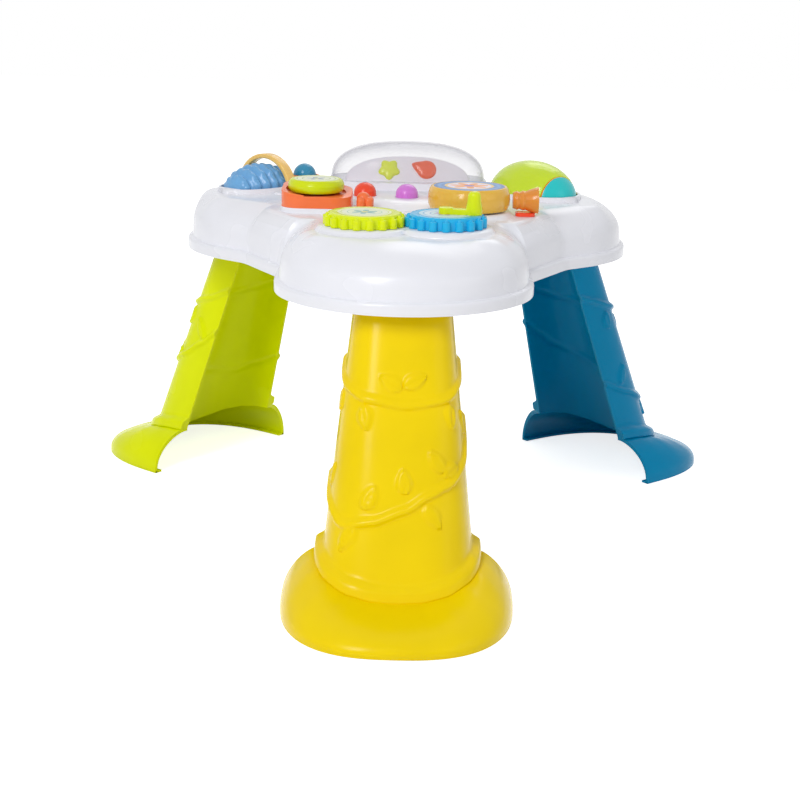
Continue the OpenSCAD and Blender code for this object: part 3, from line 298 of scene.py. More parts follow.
# Tinted clear styrene: the colour seems lit from inside
amberClear = mouldedAbs("amberStyrene", "FFC54A", 0.18, glow=0.35, clear=0.1)
hornClear = mouldedAbs("hornStyrene", "F5A03C", 0.2, glow=0.3, clear=0.15)
limeLens = mouldedAbs("limeLens", "E4F400", 0.2, glow=0.3)
orangeLens = mouldedAbs("orangeLens", "FF6418", 0.16, glow=0.3)
eggClear = mouldedAbs("limeStyrene", "D8F228", 0.18, glow=0.35, clear=0.1)
# Rings, caps, rollers and arch of coloured ABS
ringAbs = mouldedAbs("ringAbs", "FF8A1E", 0.24)
tealAbs = mouldedAbs("tealAbs", "1CCCCE", 0.18, glow=0.1)
skyAbs = mouldedAbs("skyAbs", "6FACDE", 0.24, glow=0.06)
archAbs = mouldedAbs("archAbs", "F8CC74", 0.26, glow=0.1)
ballAbs = mouldedAbs("ballAbs", "3594BC", 0.2)
# Inner pieces: dark acetal, glass-fibre board, wrapped cells, matt silicone and card
darkAbs = mouldedAbs("darkPom", "2A2A2E", 0.45)
boardFibre = mouldedAbs("boardFibre", "1F6B3A", 0.45, peelMm=1.0, flowMm=8)
cellWrap = mouldedAbs("cellWrap", "C9A23A", 0.35, flowMm=20)
greySilicone = mouldedAbs("greySilicone", "BFC0C4", 0.6, peelMm=1.2)
coneCard = mouldedAbs("coneCard", "2E2E30", 0.7, peelMm=0.8, peel=0.05, flowMm=10)
# Clear cover and plated metal
clearCover = clearPolycarbonate("clearPolycarbonate", "BDBBC8", 0.1, 0.6)
steel = platedSteel("zincSteel", "C9CCD2", 0.28)
print("materials ready")


# A carried-over node gets rounded edges and a clean surface
clean = {"merge": 0.00001, "flat": 0.8}  # m between loose corners, degrees between joined faces


def dressNode(node, name, body, material, bevelMm=0.5, steps=2, degrees=38, limit=32):
    piece = bpy.data.objects.new(name, cadNodes[node].data.copy())
    bpy.context.scene.collection.objects.link(piece)
    editAll(piece)
    bpy.ops.mesh.remove_doubles(threshold=clean["merge"])
    bpy.ops.mesh.dissolve_limited(angle_limit=math.radians(clean["flat"]))
    editDone()
    if bevelMm:
        applyModifier(piece, "BEVEL", width=bevelMm * mm, segments=steps, limit_method="ANGLE",
                      angle_limit=math.radians(limit), use_clamp_overlap=True)
    smooth(piece, degrees)
    wear(piece, material)
    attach(piece, body)
    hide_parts(node)
    return piece


# The white top
top = {
    "rimZ": 270, "deckZ": 328, "underZ": 325,
    "lobeCentre": 147, "lobeRadius": 126, "lobeAngle": 38.5,
    "webDistance": 160, "webAngle": 29.3, "backDistance": 226, "webRound": 7, "sideRound": 40,
    "lobeSteps": 24, "roundSteps": 8, "rearSteps": 14,
    "rimOut": 5, "wall": 3, "shoulder": 43, "webShoulder": 22, "frontShoulder": 68, "shoulderDrop": 29,
    "shoulderStart": 0.04, "shoulderPower": 1.25, "shoulderRows": 16, "frontEnd": -160, "creaseSpread": 12,
    "frontFrom": 0.25, "frontSpread": 0.6,  # share of the wall's normal that points back
    "drillZ": 326, "drillDeep": 30,
    # fixed inset, share of the shoulder, height above the lower edge
    "bead": [(0, 0, 0), (0, 0, 3), (0, 0, 8.4), (0.3, 0, 9.8), (1.1, 0, 10.9), (2.2, 0, 11.4), (4.3, 0, 11.7),
             (4.9, 0, 12.1), (5, 0, 13), (5, 0, 16), (5, 0.01, 20), (5, 0.025, 25)],
}
toyPlaces = {
    "limeGear": (-39, -147), "blueGear": (39, -147), "drum": (64, -44), "pad": (-93, -27),
    "redButton": (-45, 47), "purpleButton": (0, 40), "yellowButton": (45, 47),
}


def unit(degrees):  # direction in the plane of the table
    return Vector((math.cos(math.radians(degrees)), math.sin(math.radians(degrees))))


def lineCross(angleA, distanceA, angleB, distanceB):  # where two walls meet, each given by its normal
    a, b = unit(angleA), unit(angleB)
    k = a.x * b.y - a.y * b.x
    return Vector(((distanceA * b.y - distanceB * a.y) / k, (distanceB * a.x - distanceA * b.x) / k))


def roundCorner(before, corner, after, radius, steps):  # points of the arc that rounds a corner
    u, v = (before - corner).normalized(), (after - corner).normalized()
    half = math.acos(max(-1, min(1, u.dot(v)))) / 2
    middle = (u + v).normalized()
    centre = corner + middle * (radius / math.sin(half))
    side = 1 if u.x * v.y - u.y * v.x > 0 else -1
    start = math.degrees(math.atan2(-middle.y, -middle.x))
    sweep = 180 - 2 * math.degrees(half)
    return [centre + radius * unit(start - side * sweep * (i / steps - 0.5)) for i in range(steps + 1)]


def onLobe(degrees, away, side):  # away from the table's axis, then to the side
    p = away * unit(degrees) + side * unit(degrees - 90)
    return (p.x, p.y)


rightLobe, leftLobe = top["lobeAngle"], 180 - top["lobeAngle"]
rollers = {
    "axleZ": 326, "eggCentre": onLobe(rightLobe, 178, 0), "eggTurn": rightLobe - 90,
    "ribCentre": onLobe(leftLobe, 201, -14), "ribTurn": leftLobe - 90,
    "ballCentre": onLobe(leftLobe, 190, 50),
    "eggWell": (60.2, 41.6, 57.9), "ribWell": (51.6, 32.6, 43.4),  # half length, radius, flat end
}
drilled = [
    ("limeGear", 5.3), ("blueGear", 5.3), ("drum", 6.3), ("pad", 6.3), ("redButton", 12.7),
    ("purpleButton", 12.7), ("yellowButton", 12.7),
]


def topOutline(inset):
    radius = top["lobeRadius"] - inset
    end = top["lobeCentre"] + radius
    lobe, web = top["lobeAngle"], top["webAngle"]
    waist = top["webDistance"] - inset
    right = [
        (Vector((radius, -end)), radius, top["lobeSteps"]),
        (lineCross(0, radius, -web, waist), top["webRound"] + inset, top["roundSteps"]),
        (lineCross(-web, waist, lobe - 90, radius), top["sideRound"] + inset, top["roundSteps"]),
        (lineCross(lobe, end, lobe - 90, radius), radius, top["lobeSteps"]),
        (lineCross(lobe, end, 90, top["backDistance"] - inset), radius, top["rearSteps"]),
    ]
    corners = right + [(Vector((-c.x, c.y)), r, n) for c, r, n in reversed(right)]
    points = []
    for i, (corner, r, n) in enumerate(corners):
        points += roundCorner(corners[i - 1][0], corner, corners[(i + 1) % len(corners)][0], r, n)
    return points[:-1]


def deckInsets(line, inward):  # how far in the flat deck starts, all round the outline
    # place and radius that stay flat
    room = [(toyPlaces["limeGear"], 50), (toyPlaces["blueGear"], 50), (rollers["ribCentre"], 42.5),
            (onLobe(leftLobe, 201, 0), 42.2), (onLobe(leftLobe, 201, -35), 41), (rollers["ballCentre"], 26)]
    insets = []
    for p, v in zip(line, inward):
        turned = min(math.degrees(v.angle(unit(side))) for side in (180 - top["webAngle"], top["webAngle"]))
        web = max(0.0, 1 - turned / top["creaseSpread"])
        facing = (v.y - top["frontFrom"]) / top["frontSpread"]
        front = max(0.0, min(1.0, facing)) if p.y < top["frontEnd"] else 0.0
        inset = top["shoulder"] - (top["shoulder"] - top["webShoulder"]) * web
        inset += (top["frontShoulder"] - top["shoulder"]) * front * front * (3 - 2 * front)
        for centre, radius in room:  # the shoulder ends where it would cut into a toy's place
            away = p - Vector(centre)
            b = away.dot(v)
            k = b * b - (away.dot(away) - radius * radius)
            if k > 0 and b <= 0:
                inset = min(inset, -b - math.sqrt(k))
        insets.append(inset)
    count = len(insets)
    for _ in range(2):
        insets = [(insets[i - 1] + 2 * insets[i] + insets[(i + 1) % count]) / 4 for i in range(count)]
    return insets


def topRows():  # the bead at the lower edge, then the rounded shoulder
    rows = list(top["bead"])
    start, power = top["shoulderStart"], top["shoulderPower"]
    height = top["deckZ"] - top["rimZ"]
    for i in range(1, top["shoulderRows"] + 1):
        t = math.radians(i * 90 / top["shoulderRows"])
        share = start + (1 - start) * (1 - math.cos(t) ** power)
        rows.append((top["rimOut"], share, height - top["shoulderDrop"] * (1 - math.sin(t) ** power)))
    return rows


def buildTop():
    rows = topRows()
    line = topOutline(0)
    inward = [(b - a).normalized() for a, b in zip(line, topOutline(1))]
    insets = deckInsets(line, inward)
    count = len(line)

    def place(across, up):
        i = across % count
        fixed, share, height = rows[up]
        p = line[i] + inward[i] * (fixed + share * (insets[i] - top["rimOut"]))
        return Vector((p.x, p.y + tableAxisY, top["rimZ"] + height)) * mm

    piece = mappedGrid("topBody", count, len(rows) - 1, place)
    mergeDoubles(piece, 0.02 * mm)
    fillAcross(piece, lambda vertex: vertex.co.z > (top["deckZ"] - 0.01) * mm)
    faceOutward(piece)
    return piece


def rollerCutter(centre, degrees, halfLength, radius, cutAt):  # an egg with flat ends, lying on its axle
    bpy.ops.object.select_all(action="DESELECT")
    bpy.ops.mesh.primitive_uv_sphere_add(segments=64, ring_count=48, radius=mm)
    piece = newestAs("rollerCutter")
    bpy.ops.transform.rotate(value=math.radians(90), orient_axis="Y", center_override=(0, 0, 0))
    settle(piece)
    piece.scale = (halfLength, radius, radius)
    settle(piece)
    for side in (-1, 1):
        editAll(piece)
        bpy.ops.mesh.bisect(plane_co=(side * cutAt * mm, 0, 0), plane_no=(side, 0, 0), use_fill=True,
                            clear_outer=True)
        editDone()
    piece.rotation_euler = (0, 0, math.radians(degrees))
    piece.location = centre
    settle(piece)
    return piece


def toMetres(x, y, z):
    return Vector((x * mm, (y + tableAxisY) * mm, z * mm))


def cutTop(piece):
    cutters = []
    for toy in ("egg", "rib"):
        centre = toMetres(*rollers[toy + "Centre"], rollers["axleZ"])
        cutters.append(rollerCutter(centre, rollers[toy + "Turn"], *rollers[toy + "Well"]))
    holes = [(toyPlaces[toy], radius) for toy, radius in drilled] + [(rollers["ballCentre"], 3.3)]
    for (x, y), radius in holes:
        bpy.ops.object.select_all(action="DESELECT")
        bpy.ops.mesh.primitive_cylinder_add(vertices=48, radius=radius * mm, depth=top["drillDeep"] * mm,
                                            location=toMetres(x, y, top["drillZ"]))
        hole = newestAs("holeCutter")
        settle(hole)
        cutters.append(hole)
    cutter = joinAll(cutters)
    applyModifier(piece, "BOOLEAN", operation="DIFFERENCE", solver="EXACT", object=cutter)
    bpy.data.objects.remove(cutter)


topBody = buildTop()
applyModifier(topBody, "SOLIDIFY", thickness=top["wall"] * mm, offset=-1.0)
cutTop(topBody)
smooth(topBody, 40)
wear(topBody, whiteAbs)
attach(topBody, "table")
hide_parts("top_shell")
print("top body done", len(topBody.data.polygons))


def buildDeckDetails():  # cups, rises, wells and posts, without the flat plate that topBody already has
    piece = dressNode("deck_panel", "deckDetails", "table", whiteAbs, bevelMm=0)
    editAll(piece)
    bpy.ops.mesh.select_all(action="DESELECT")
    editDone()
    deck, under, near = top["deckZ"] * mm, top["underZ"] * mm, 0.05 * mm
    for face in piece.data.polygons:
        heights = [piece.data.vertices[v].co.z for v in face.vertices]
        atDeck, atUnder = [abs(h - deck) < near for h in heights], [abs(h - under) < near for h in heights]
        flatTop = all(atDeck) and face.normal.z > 0.9
        flatLow = all(atUnder) and face.normal.z < -0.9
        edge = abs(face.normal.z) < 0.1 and all(a or b for a, b in zip(atDeck, atUnder))
        face.select = flatTop or flatLow or edge
    bpy.ops.object.mode_set(mode="EDIT")
    bpy.ops.mesh.select_mode(type="FACE")
    bpy.ops.mesh.delete(type="FACE")
    bpy.ops.mesh.select_mode(type="VERT")
    editDone()
    smooth(piece, 45)
    return piece


buildDeckDetails()
print("deck details done")

# Legs: half-round blown shells with vines and leaves raised on the outside
leg = {
    "topZ": 272, "lowZ": 49, "inTop": 191, "splay": 0.335,
    "halfTop": 46, "halfLow": 70, "depthTop": 56, "depthLow": 73,
    "footIn": 277, "footHalf": 108, "footDepth": 138, "flange": 9,
    "wall": 3, "vineOut": 3.4, "vineHalf": 5.2, "roundPerDegree": 1.5, "innerVine": 0.5, "plainAbove": 262,
    "plate": 4, "plateGap": 0.4, "flangeGap": 0.3, "flangeThick": 2.4, "flangeColumns": 60,
    "tenonAt": 216.8, "tenonWide": 58, "tenonDeep": 26, "tenonHigh": 10, "tenonRound": 3,
    "columns": 116, "innerColumns": 40, "rows": 150, "flareRows": 18,
    "squareTop": 3.6, "squareLow": 3.2, "squareFoot": 2.6, "flareOut": 4.2, "flareDrop": 0.8, "skirt": 3.5,
    "flareLess": 2.8,  # the flare rises this much less than the collar's edge stands
    "collarHigh": 18, "collarSide": 0.6,
    # direction around the leg, height above the floor
    "lowVine": [(-90, 114), (-62, 100), (-41, 87), (-18, 92), (5, 102), (23, 115), (34, 121), (55, 134),
                (72, 150), (90, 166)],
    "highVine": [(-90, 216), (-70, 210), (-45, 201), (-27, 195), (4, 190), (35, 194), (60, 203), (90, 216)],
    "collar": [(0, 25), (15, 26), (30, 30), (45, 37), (60, 43), (75, 46), (90, 47)],
    # height above the collar's lower edge, how far it stands out
    "collarRows": [(1.0, 4.5), (1.4, 4.75), (2.0, 4.9), (2.7, 5), (3.6, 5), (4.8, 5), (6, 5), (8, 5),
                   (9.6, 4.8), (11, 4.1), (12.2, 3.0), (13.2, 1.8), (14.2, 0.8), (15.6, 0.1), (18, 0)],
    # direction, height, length, width, turn
    "leaves": [(-9, 209, 24, 17, 150), (12, 211, 24, 17, 28), (-28, 178, 24, 16, -75),
               (42, 178, 24, 16, -105), (28, 143, 24, 17, 120), (40, 134, 22, 15, 35),
               (-21, 112, 24, 17, 70), (4, 126, 24, 16, 95), (25, 96, 24, 17, -60),
               (-36, 76, 26, 18, -110), (-62, 122, 22, 15, 80), (66, 168, 22, 15, 110),
               (-60, 186, 22, 15, -70)],
}
leaf = {
    "rise": 2.3, "edge": 1.8, "tip": 0.75, "fullness": 0.8, "least": 0.3,
    "veinDeep": 0.9, "veinHalf": 1.3, "veinEnd": 0.85,
}


def lookUp(x, table):  # a value between two rows of a table, eased at its points
    if x <= table[0][0]:
        return table[0][1]
    for (x0, y0), (x1, y1) in zip(table, table[1:]):
        if x <= x1:
            t = (x - x0) / (x1 - x0)
            t = t * t * (3 - 2 * t) * 0.5 + t * 0.5
            return y0 + (y1 - y0) * t
    return table[-1][1]


def ovalReach(turn, half, depth, power):  # radius of a squared oval, 2 is an ellipse and more is squarer
    c, s = abs(math.cos(turn)), abs(math.sin(turn))
    return ((c / half) ** power + (s / depth) ** power) ** (-1 / power)


def halfRound(start, half, depth, power, degrees):
    q = ovalReach(math.radians(degrees), depth, half, power)
    return Vector((start + q * math.cos(math.radians(degrees)), q * math.sin(math.radians(degrees))))


def legPoint(z, degrees, out=0.0):  # on the outer face of the leaning shell
    f = (leg["topZ"] - z) / (leg["topZ"] - leg["lowZ"])
    p = halfRound(leg["inTop"] + (leg["topZ"] - z) * leg["splay"],
                  leg["halfTop"] + (leg["halfLow"] - leg["halfTop"]) * f + out,
                  leg["depthTop"] + (leg["depthLow"] - leg["depthTop"]) * f + out,
                  leg["squareTop"] + (leg["squareLow"] - leg["squareTop"]) * f, degrees)
    return Vector((p.x, p.y, z))


def footPoint(degrees, z, out=0.0):
    p = halfRound(leg["footIn"], leg["footHalf"] + out, leg["footDepth"] + out, leg["squareFoot"], degrees)
    return Vector((p.x, p.y, z))


def collarZ(degrees):
    return lookUp(abs(degrees), leg["collar"])


def leafHeight(point, leaves):  # a pointed, crowned blade with a groove down its middle
    best = 0.0
    for centre, along, across, length, width in leaves:
        d = point - centre
        if abs(d.z) > length or abs(d.x) + abs(d.y) > 2 * length:
            continue
        t = d.dot(along) / length + 0.5
        if not 0 < t < 1:
            continue
        half = width / 2 * math.sin(math.pi * t ** leaf["tip"]) ** leaf["fullness"]
        s = abs(d.dot(across))
        if half < leaf["least"] or s > half:
            continue
        edge = min(1.0, (1 - s / half) * leaf["edge"])
        rise = leaf["rise"] * math.sin(edge * math.pi / 2)
        if t < leaf["veinEnd"]:
            rise -= leaf["veinDeep"] * max(0.0, 1 - s / leaf["veinHalf"])
        best = max(best, rise)
    return best


def vineHeight(degrees, z):  # a round cord laid along each table of heights
    best = 0.0
    for table in (leg["lowVine"], leg["highVine"]):
        slope = (lookUp(degrees + 2, table) - lookUp(degrees - 2, table)) / (4 * leg["roundPerDegree"])
        d = (z - lookUp(degrees, table)) / math.sqrt(1 + slope * slope) / leg["vineHalf"]
        if abs(d) < 1:
            best = max(best, leg["vineOut"] * math.cos(d * math.pi / 2) ** 1.2)
    return best


def legRows():  # from the floor up
    rows = [("foot", 0.0), ("foot", 1.3), ("foot", 2.6)]
    rows += [("flare", 1 - i / leg["flareRows"]) for i in range(leg["flareRows"] + 1)]
    rows += [("collar", k) for k in leg["collarRows"]]
    rows += [("leg", i / leg["rows"]) for i in range(1, leg["rows"] + 1)]
    return rows


def buildLeg(name, azimuth, node, material):
    rows = legRows()
    leaves = []
    for degrees, z, length, width, turn in leg["leaves"]:
        centre = legPoint(z, degrees)
        right = (legPoint(z, degrees + 2) - legPoint(z, degrees - 2)).normalized()
        up = (legPoint(z + 3, degrees) - legPoint(z - 3, degrees)).normalized()
        c, s = math.cos(math.radians(turn)), math.sin(math.radians(turn))
        leaves.append((centre, right * c + up * s, up * c - right * s, length, width))
    turn = Matrix.Rotation(math.radians(azimuth), 3, "Z")
    shift = Vector((0, tableAxisY, 0))

    def place(across, up):
        if across <= leg["columns"]:
            degrees, inner = -90 + 180 * across / leg["columns"], 0.0
        elif across <= leg["columns"] + 1 + leg["innerColumns"]:
            degrees, inner = 90 - 180 * (across - leg["columns"] - 1) / leg["innerColumns"], -leg["wall"]
        else:
            degrees, inner = -90, 0.0
        kind, k = rows[up]
        low = collarZ(degrees)
        if kind == "foot":
            p = footPoint(degrees, k, inner)
        elif kind == "flare":
            side = math.sin(math.radians(90 * k))
            down = (1 - math.cos(math.radians(90 * k))) ** leg["flareDrop"]
            a, b = legPoint(low, degrees, inner if inner else leg["flareOut"]), footPoint(degrees, 0, inner)
            z = leg["skirt"] + (low - leg["flareLess"]) * (1 - down) + inner * (1 - k)
            p = Vector((a.x + (b.x - a.x) * side, a.y + (b.y - a.y) * side, z))
        elif kind == "collar":
            swell = 1 + leg["collarSide"] * math.sin(math.radians(degrees)) ** 2
            p = legPoint(low + k[0], degrees, k[1] * swell if not inner else inner)
        else:
            z = (low + leg["collarHigh"]) * (1 - k) + leg["topZ"] * k
            carved = z < leg["plainAbove"]
            vine = vineHeight(degrees, z) if carved else 0.0
            if inner:
                out = inner + leg["innerVine"] * vine
            else:
                out = max(vine, leafHeight(legPoint(z, degrees), leaves)) if carved else 0.0
            p = legPoint(z, degrees, out)
        return (turn @ p + shift) * mm

    piece = mappedGrid(name, leg["columns"] + leg["innerColumns"] + 2, len(rows) - 1, place)
    mergeDoubles(piece, 0.01 * mm)
    for level in (0.0, leg["topZ"]):
        fillAcross(piece, lambda vertex: abs(vertex.co.z - level * mm) < 0.01 * mm)
    faceOutward(piece)

    # the plate that closes the shell below the table
    bpy.ops.object.select_all(action="DESELECT")
    bpy.ops.mesh.primitive_circle_add(vertices=61, radius=mm, fill_type="NGON")
    plate = newestAs(name + "Plate")
    for i, vertex in enumerate(plate.data.vertices):
        vertex.co = (turn @ legPoint(leg["topZ"], -90 + 3 * i, -leg["plateGap"]) + shift) * mm
    editAll(plate)
    bpy.ops.mesh.extrude_region_move(TRANSFORM_OT_translate={"value": (0, 0, -leg["plate"] * mm)})
    bpy.ops.mesh.select_all(action="SELECT")
    bpy.ops.mesh.normals_make_consistent(inside=False)
    editDone()

    # the tenon that plugs into the table's socket
    bpy.ops.object.select_all(action="DESELECT")
    bpy.ops.mesh.primitive_cube_add(size=1)
    tenon = newestAs(name + "Tenon")
    tenon.scale = (leg["tenonDeep"] * mm, leg["tenonWide"] * mm, (leg["tenonHigh"] + 1) * mm)
    tenon.location = (leg["tenonAt"] * mm, 0, (leg["topZ"] + leg["tenonHigh"] / 2 - 0.5) * mm)
    settle(tenon)
    applyModifier(tenon, "BEVEL", width=leg["tenonRound"] * mm, segments=4, limit_method="ANGLE")
    tenon.rotation_euler = (0, 0, math.radians(azimuth))
    tenon.location = (0, tableAxisY * mm, 0)
    settle(tenon)

    def flangePlace(across, up):  # the foot's inward flange, flat on the floor
        degrees = -90 + 180 * across / leg["flangeColumns"]
        inset = leg["flangeGap"] + (leg["flange"] - leg["flangeGap"]) * up
        return (turn @ footPoint(degrees, 0, -inset) + shift) * mm

    flange = mappedGrid(name + "Flange", leg["flangeColumns"], 1, flangePlace)
    editAll(flange)
    bpy.ops.mesh.extrude_region_move(TRANSFORM_OT_translate={"value": (0, 0, leg["flangeThick"] * mm)})
    bpy.ops.mesh.select_all(action="SELECT")
    bpy.ops.mesh.normals_make_consistent(inside=False)
    editDone()
    piece = joinAll([piece, flange, plate, tenon])
    smooth(piece, 42)
    wear(piece, material)
    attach(piece, "table")
    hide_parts(node)
    return piece


frontLeg = buildLeg("frontLegShell", -90, "front_leg", yellowLeg)
buildLeg("rightLegShell", rightLobe, "right_leg", blueLeg)
buildLeg("leftLegShell", leftLobe, "left_leg", limeLeg)
print("legs done, faces each:", len(frontLeg.data.polygons))

# Clear dome and the arched panel under it
dome = {
    "half": 86, "depth": 44, "height": 41, "y": 132, "floor": 341, "wall": 1.6, "power": 2.7, "fullness": 0.8,
    "columns": 96, "rows": 28, "panelY": 101, "lean": 28,
}
console = {
    "half": 69, "rise": 30.7, "power": 2.3, "columns": 64, "from": -8, "sweep": 196,
    "edge": [(-20, 0), (-2.5, 0), (-1.2, 0.35), (-0.35, 1.2), (0, 2.5)],  # off the face, inward
}
lens = {"columns": 72, "rows": 10, "sunk": 0.5, "rise": 3.4, "crown": 0.7, "fullness": 0.8}
star = {"middle": (-20.5, 14), "reach": 10.9, "wave": 1.5, "points": 5, "turn": 90}
drop = {"middle": (21, 14.5), "reach": 10.8, "tip": 7.5, "toward": 158, "spread": 48, "power": 1.7}


def buildDome():
    def place(across, up):
        b, a = math.radians(across * 360 / dome["columns"]), math.radians(up * 90 / dome["rows"])
        q = ovalReach(b, dome["half"], dome["depth"], dome["power"])
        s, h = max(0.0, math.cos(a)) ** dome["fullness"], math.sin(a) ** dome["fullness"]
        return toMetres(q * math.cos(b) * s, dome["y"] + q * math.sin(b) * s,
                        dome["floor"] + dome["height"] * h)

    piece = mappedGrid("domeCover", dome["columns"], dome["rows"], place)
    mergeDoubles(piece, 0.02 * mm)
    faceOutward(piece)
    applyModifier(piece, "SOLIDIFY", thickness=dome["wall"] * mm, offset=-1.0)
    smooth(piece, 50)
    wear(piece, clearCover)
    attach(piece, "table")
    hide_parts("clear_dome")
    return piece


buildDome()


def onPanel(x, y, z):  # a point of the console's leaning face, z standing off it
    lean = math.radians(90 - dome["lean"])
    return toMetres(x, dome["panelY"] + y * math.cos(lean) - z * math.sin(lean),
                    dome["floor"] + y * math.sin(lean) + z * math.cos(lean))


def buildConsole():  # an arched block that leans back under the dome
    columns, rows = console["columns"], len(console["edge"]) - 1

    def place(across, up):
        turn = math.radians(console["from"] + console["sweep"] * across / columns)
        z, inward = console["edge"][up]
        reach = ovalReach(turn, console["half"] - inward, console["rise"] - inward, console["power"])
        return onPanel(reach * math.cos(turn), reach * math.sin(turn), z)

    piece = mappedGrid("consoleBody", columns, rows, place)
    for level in (0, rows):
        fillAcross(piece, lambda vertex: vertex.index // (columns + 1) == level)
    editAll(piece)
    bpy.ops.mesh.bisect(plane_co=(0, 0, dome["floor"] * mm), plane_no=(0, 0, -1), use_fill=True,
                        clear_outer=True)
    bpy.ops.mesh.normals_make_consistent(inside=False)
    editDone()
    smooth(piece, 40)
    # the console wears the lighter white, painted light against the dome's shade
    wear(piece, consolePaintedLightAbs)
    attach(piece, "table")
    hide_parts("dome_console")
    return piece


buildConsole()


def buildLens(name, node, middle, outline, material):  # puffed lens on the console's leaning face
    def place(across, up):
        turn, t = across * 360 / lens["columns"], math.radians(up * 90 / lens["rows"])
        p = outline(turn)
        share = max(0.0, math.cos(t)) ** lens["crown"]
        z = -lens["sunk"] + (lens["rise"] + lens["sunk"]) * math.sin(t) ** lens["fullness"]
        return onPanel(middle[0] + p[0] * share, middle[1] + p[1] * share, z)

    piece = mappedGrid(name, lens["columns"], lens["rows"], place)
    mergeDoubles(piece, 0.01 * mm)
    editAll(piece)
    bpy.ops.mesh.select_all(action="DESELECT")
    bpy.ops.mesh.select_non_manifold()  # the open rim against the panel
    bpy.ops.mesh.edge_face_add()
    editDone()
    faceOutward(piece)
    smooth(piece, 50)
    wear(piece, material)
    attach(piece, "table")
    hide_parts(node)
    return piece


def starOutline(degrees):
    reach = star["reach"] + star["wave"] * math.cos(math.radians(star["points"] * (degrees + star["turn"])))
    return (reach * math.cos(math.radians(degrees)), reach * math.sin(math.radians(degrees)))


def dropOutline(degrees):
    away = abs((degrees - drop["toward"] + 180) % 360 - 180)
    reach = drop["reach"] + drop["tip"] * max(0.0, 1 - away / drop["spread"]) ** drop["power"]
    return (reach * math.cos(math.radians(degrees)), reach * math.sin(math.radians(degrees)))


buildLens("starLight", "star_light", star["middle"], starOutline, limeLens)
buildLens("dropLight", "drop_light", drop["middle"], dropOutline, orangeLens)
print("dome done")

# Gears, drums, buttons, rollers and small toys
ribbed = {
    "half": 42, "radius": 31, "taper": 6, "count": 7, "groove": 4.6, "waves": 14, "wave": 0.7, "hole": 3.2,
    "columns": 140, "rows": 120,
}


def buildRibbedRoller():
    half, last = ribbed["half"], ribbed["rows"]
    steps = last - 2  # the first and last rows are the edges of the shaft's hole

    def place(across, up):
        turn = math.radians(across * 360 / ribbed["columns"])
        if up in (0, last):
            x, reach = (-1 if up == 0 else 1) * half, ribbed["hole"]
        else:
            x = half * ((up - 1) / (steps / 2) - 1)
            phase = abs(math.cos(math.pi * ribbed["count"] * (up - 1) / steps))
            reach = ribbed["radius"] * math.sqrt(1 - (x / (half + ribbed["taper"])) ** 2)
            reach -= ribbed["groove"] * phase ** 3
            reach += ribbed["wave"] * (1 - phase ** 2) * (math.cos(ribbed["waves"] * turn) - 1)
        return Vector((x, reach * math.cos(turn), reach * math.sin(turn))) * mm

    piece = mappedGrid("ribbedRoller", ribbed["columns"], last, place)
    mergeDoubles(piece, 0.01 * mm)
    faceOutward(piece)
    piece.rotation_euler = (0, 0, math.radians(rollers["ribTurn"]))
    piece.location = toMetres(*rollers["ribCentre"], rollers["axleZ"])
    settle(piece)
    smooth(piece, 50)
    wear(piece, skyAbs)
    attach(piece, "ribbed_body")
    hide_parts("ribbed_roller")
    return piece


buildRibbedRoller()
dressNode("lime_gear", "limeGear", "lime_gear_body", limeAbs, 0.7, 2)
dressNode("blue_gear", "blueGear", "blue_gear_body", blueAbs, 0.7, 2)
dressNode("crank_handle", "crankHandle", "blue_gear_body", limeAbs, 1.0, 3)
dressNode("pad_base", "padBase", "table", orangeAbs, 1.6, 3)
dressNode("orange_knob", "orangeKnob", "table", orangeAbs, 0, degrees=50)
dressNode("lime_pad", "limePad", "lime_pad_body", padAbs, 0.8, 2)
dressNode("amber_drum", "amberDrum", "amber_drum_body", amberClear, 0.8, 2)
dressNode("amber_horn", "amberHorn", "table", hornClear, 0.4, 2)
dressNode("horn_base", "hornBase", "table", redAbs, 0.8, 2)
dressNode("red_button", "redButton", "red_button_body", redAbs, 0.4, 2)
dressNode("purple_button", "purpleButton", "purple_button_body", purpleAbs, 0.4, 2)
dressNode("yellow_button", "yellowButton", "yellow_button_body", yellowAbs, 0.4, 2)
dressNode("egg_roller", "eggRoller", "egg_body", eggClear, 0.3, 2)
dressNode("egg_ring", "eggRing", "egg_body", ringAbs, 0.3, 2)
dressNode("egg_cap", "eggCap", "egg_body", tealAbs, 0.3, 2)
dressNode("orange_arch", "orangeArch", "table", archAbs, 1.2, 3)
dressNode("spinner_ball", "spinnerBall", "ball_body", ballAbs, 0)
dressNode("spinner_ring", "spinnerRing", "table", ringAbs, 0.5, 2)
print("toys done")


# Materials of the nodes that keep their own mesh
def discCentre(node):
    low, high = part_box(node)
    return ((low[0] + high[0]) / 2, (low[1] + high[1]) / 2, 0.0)


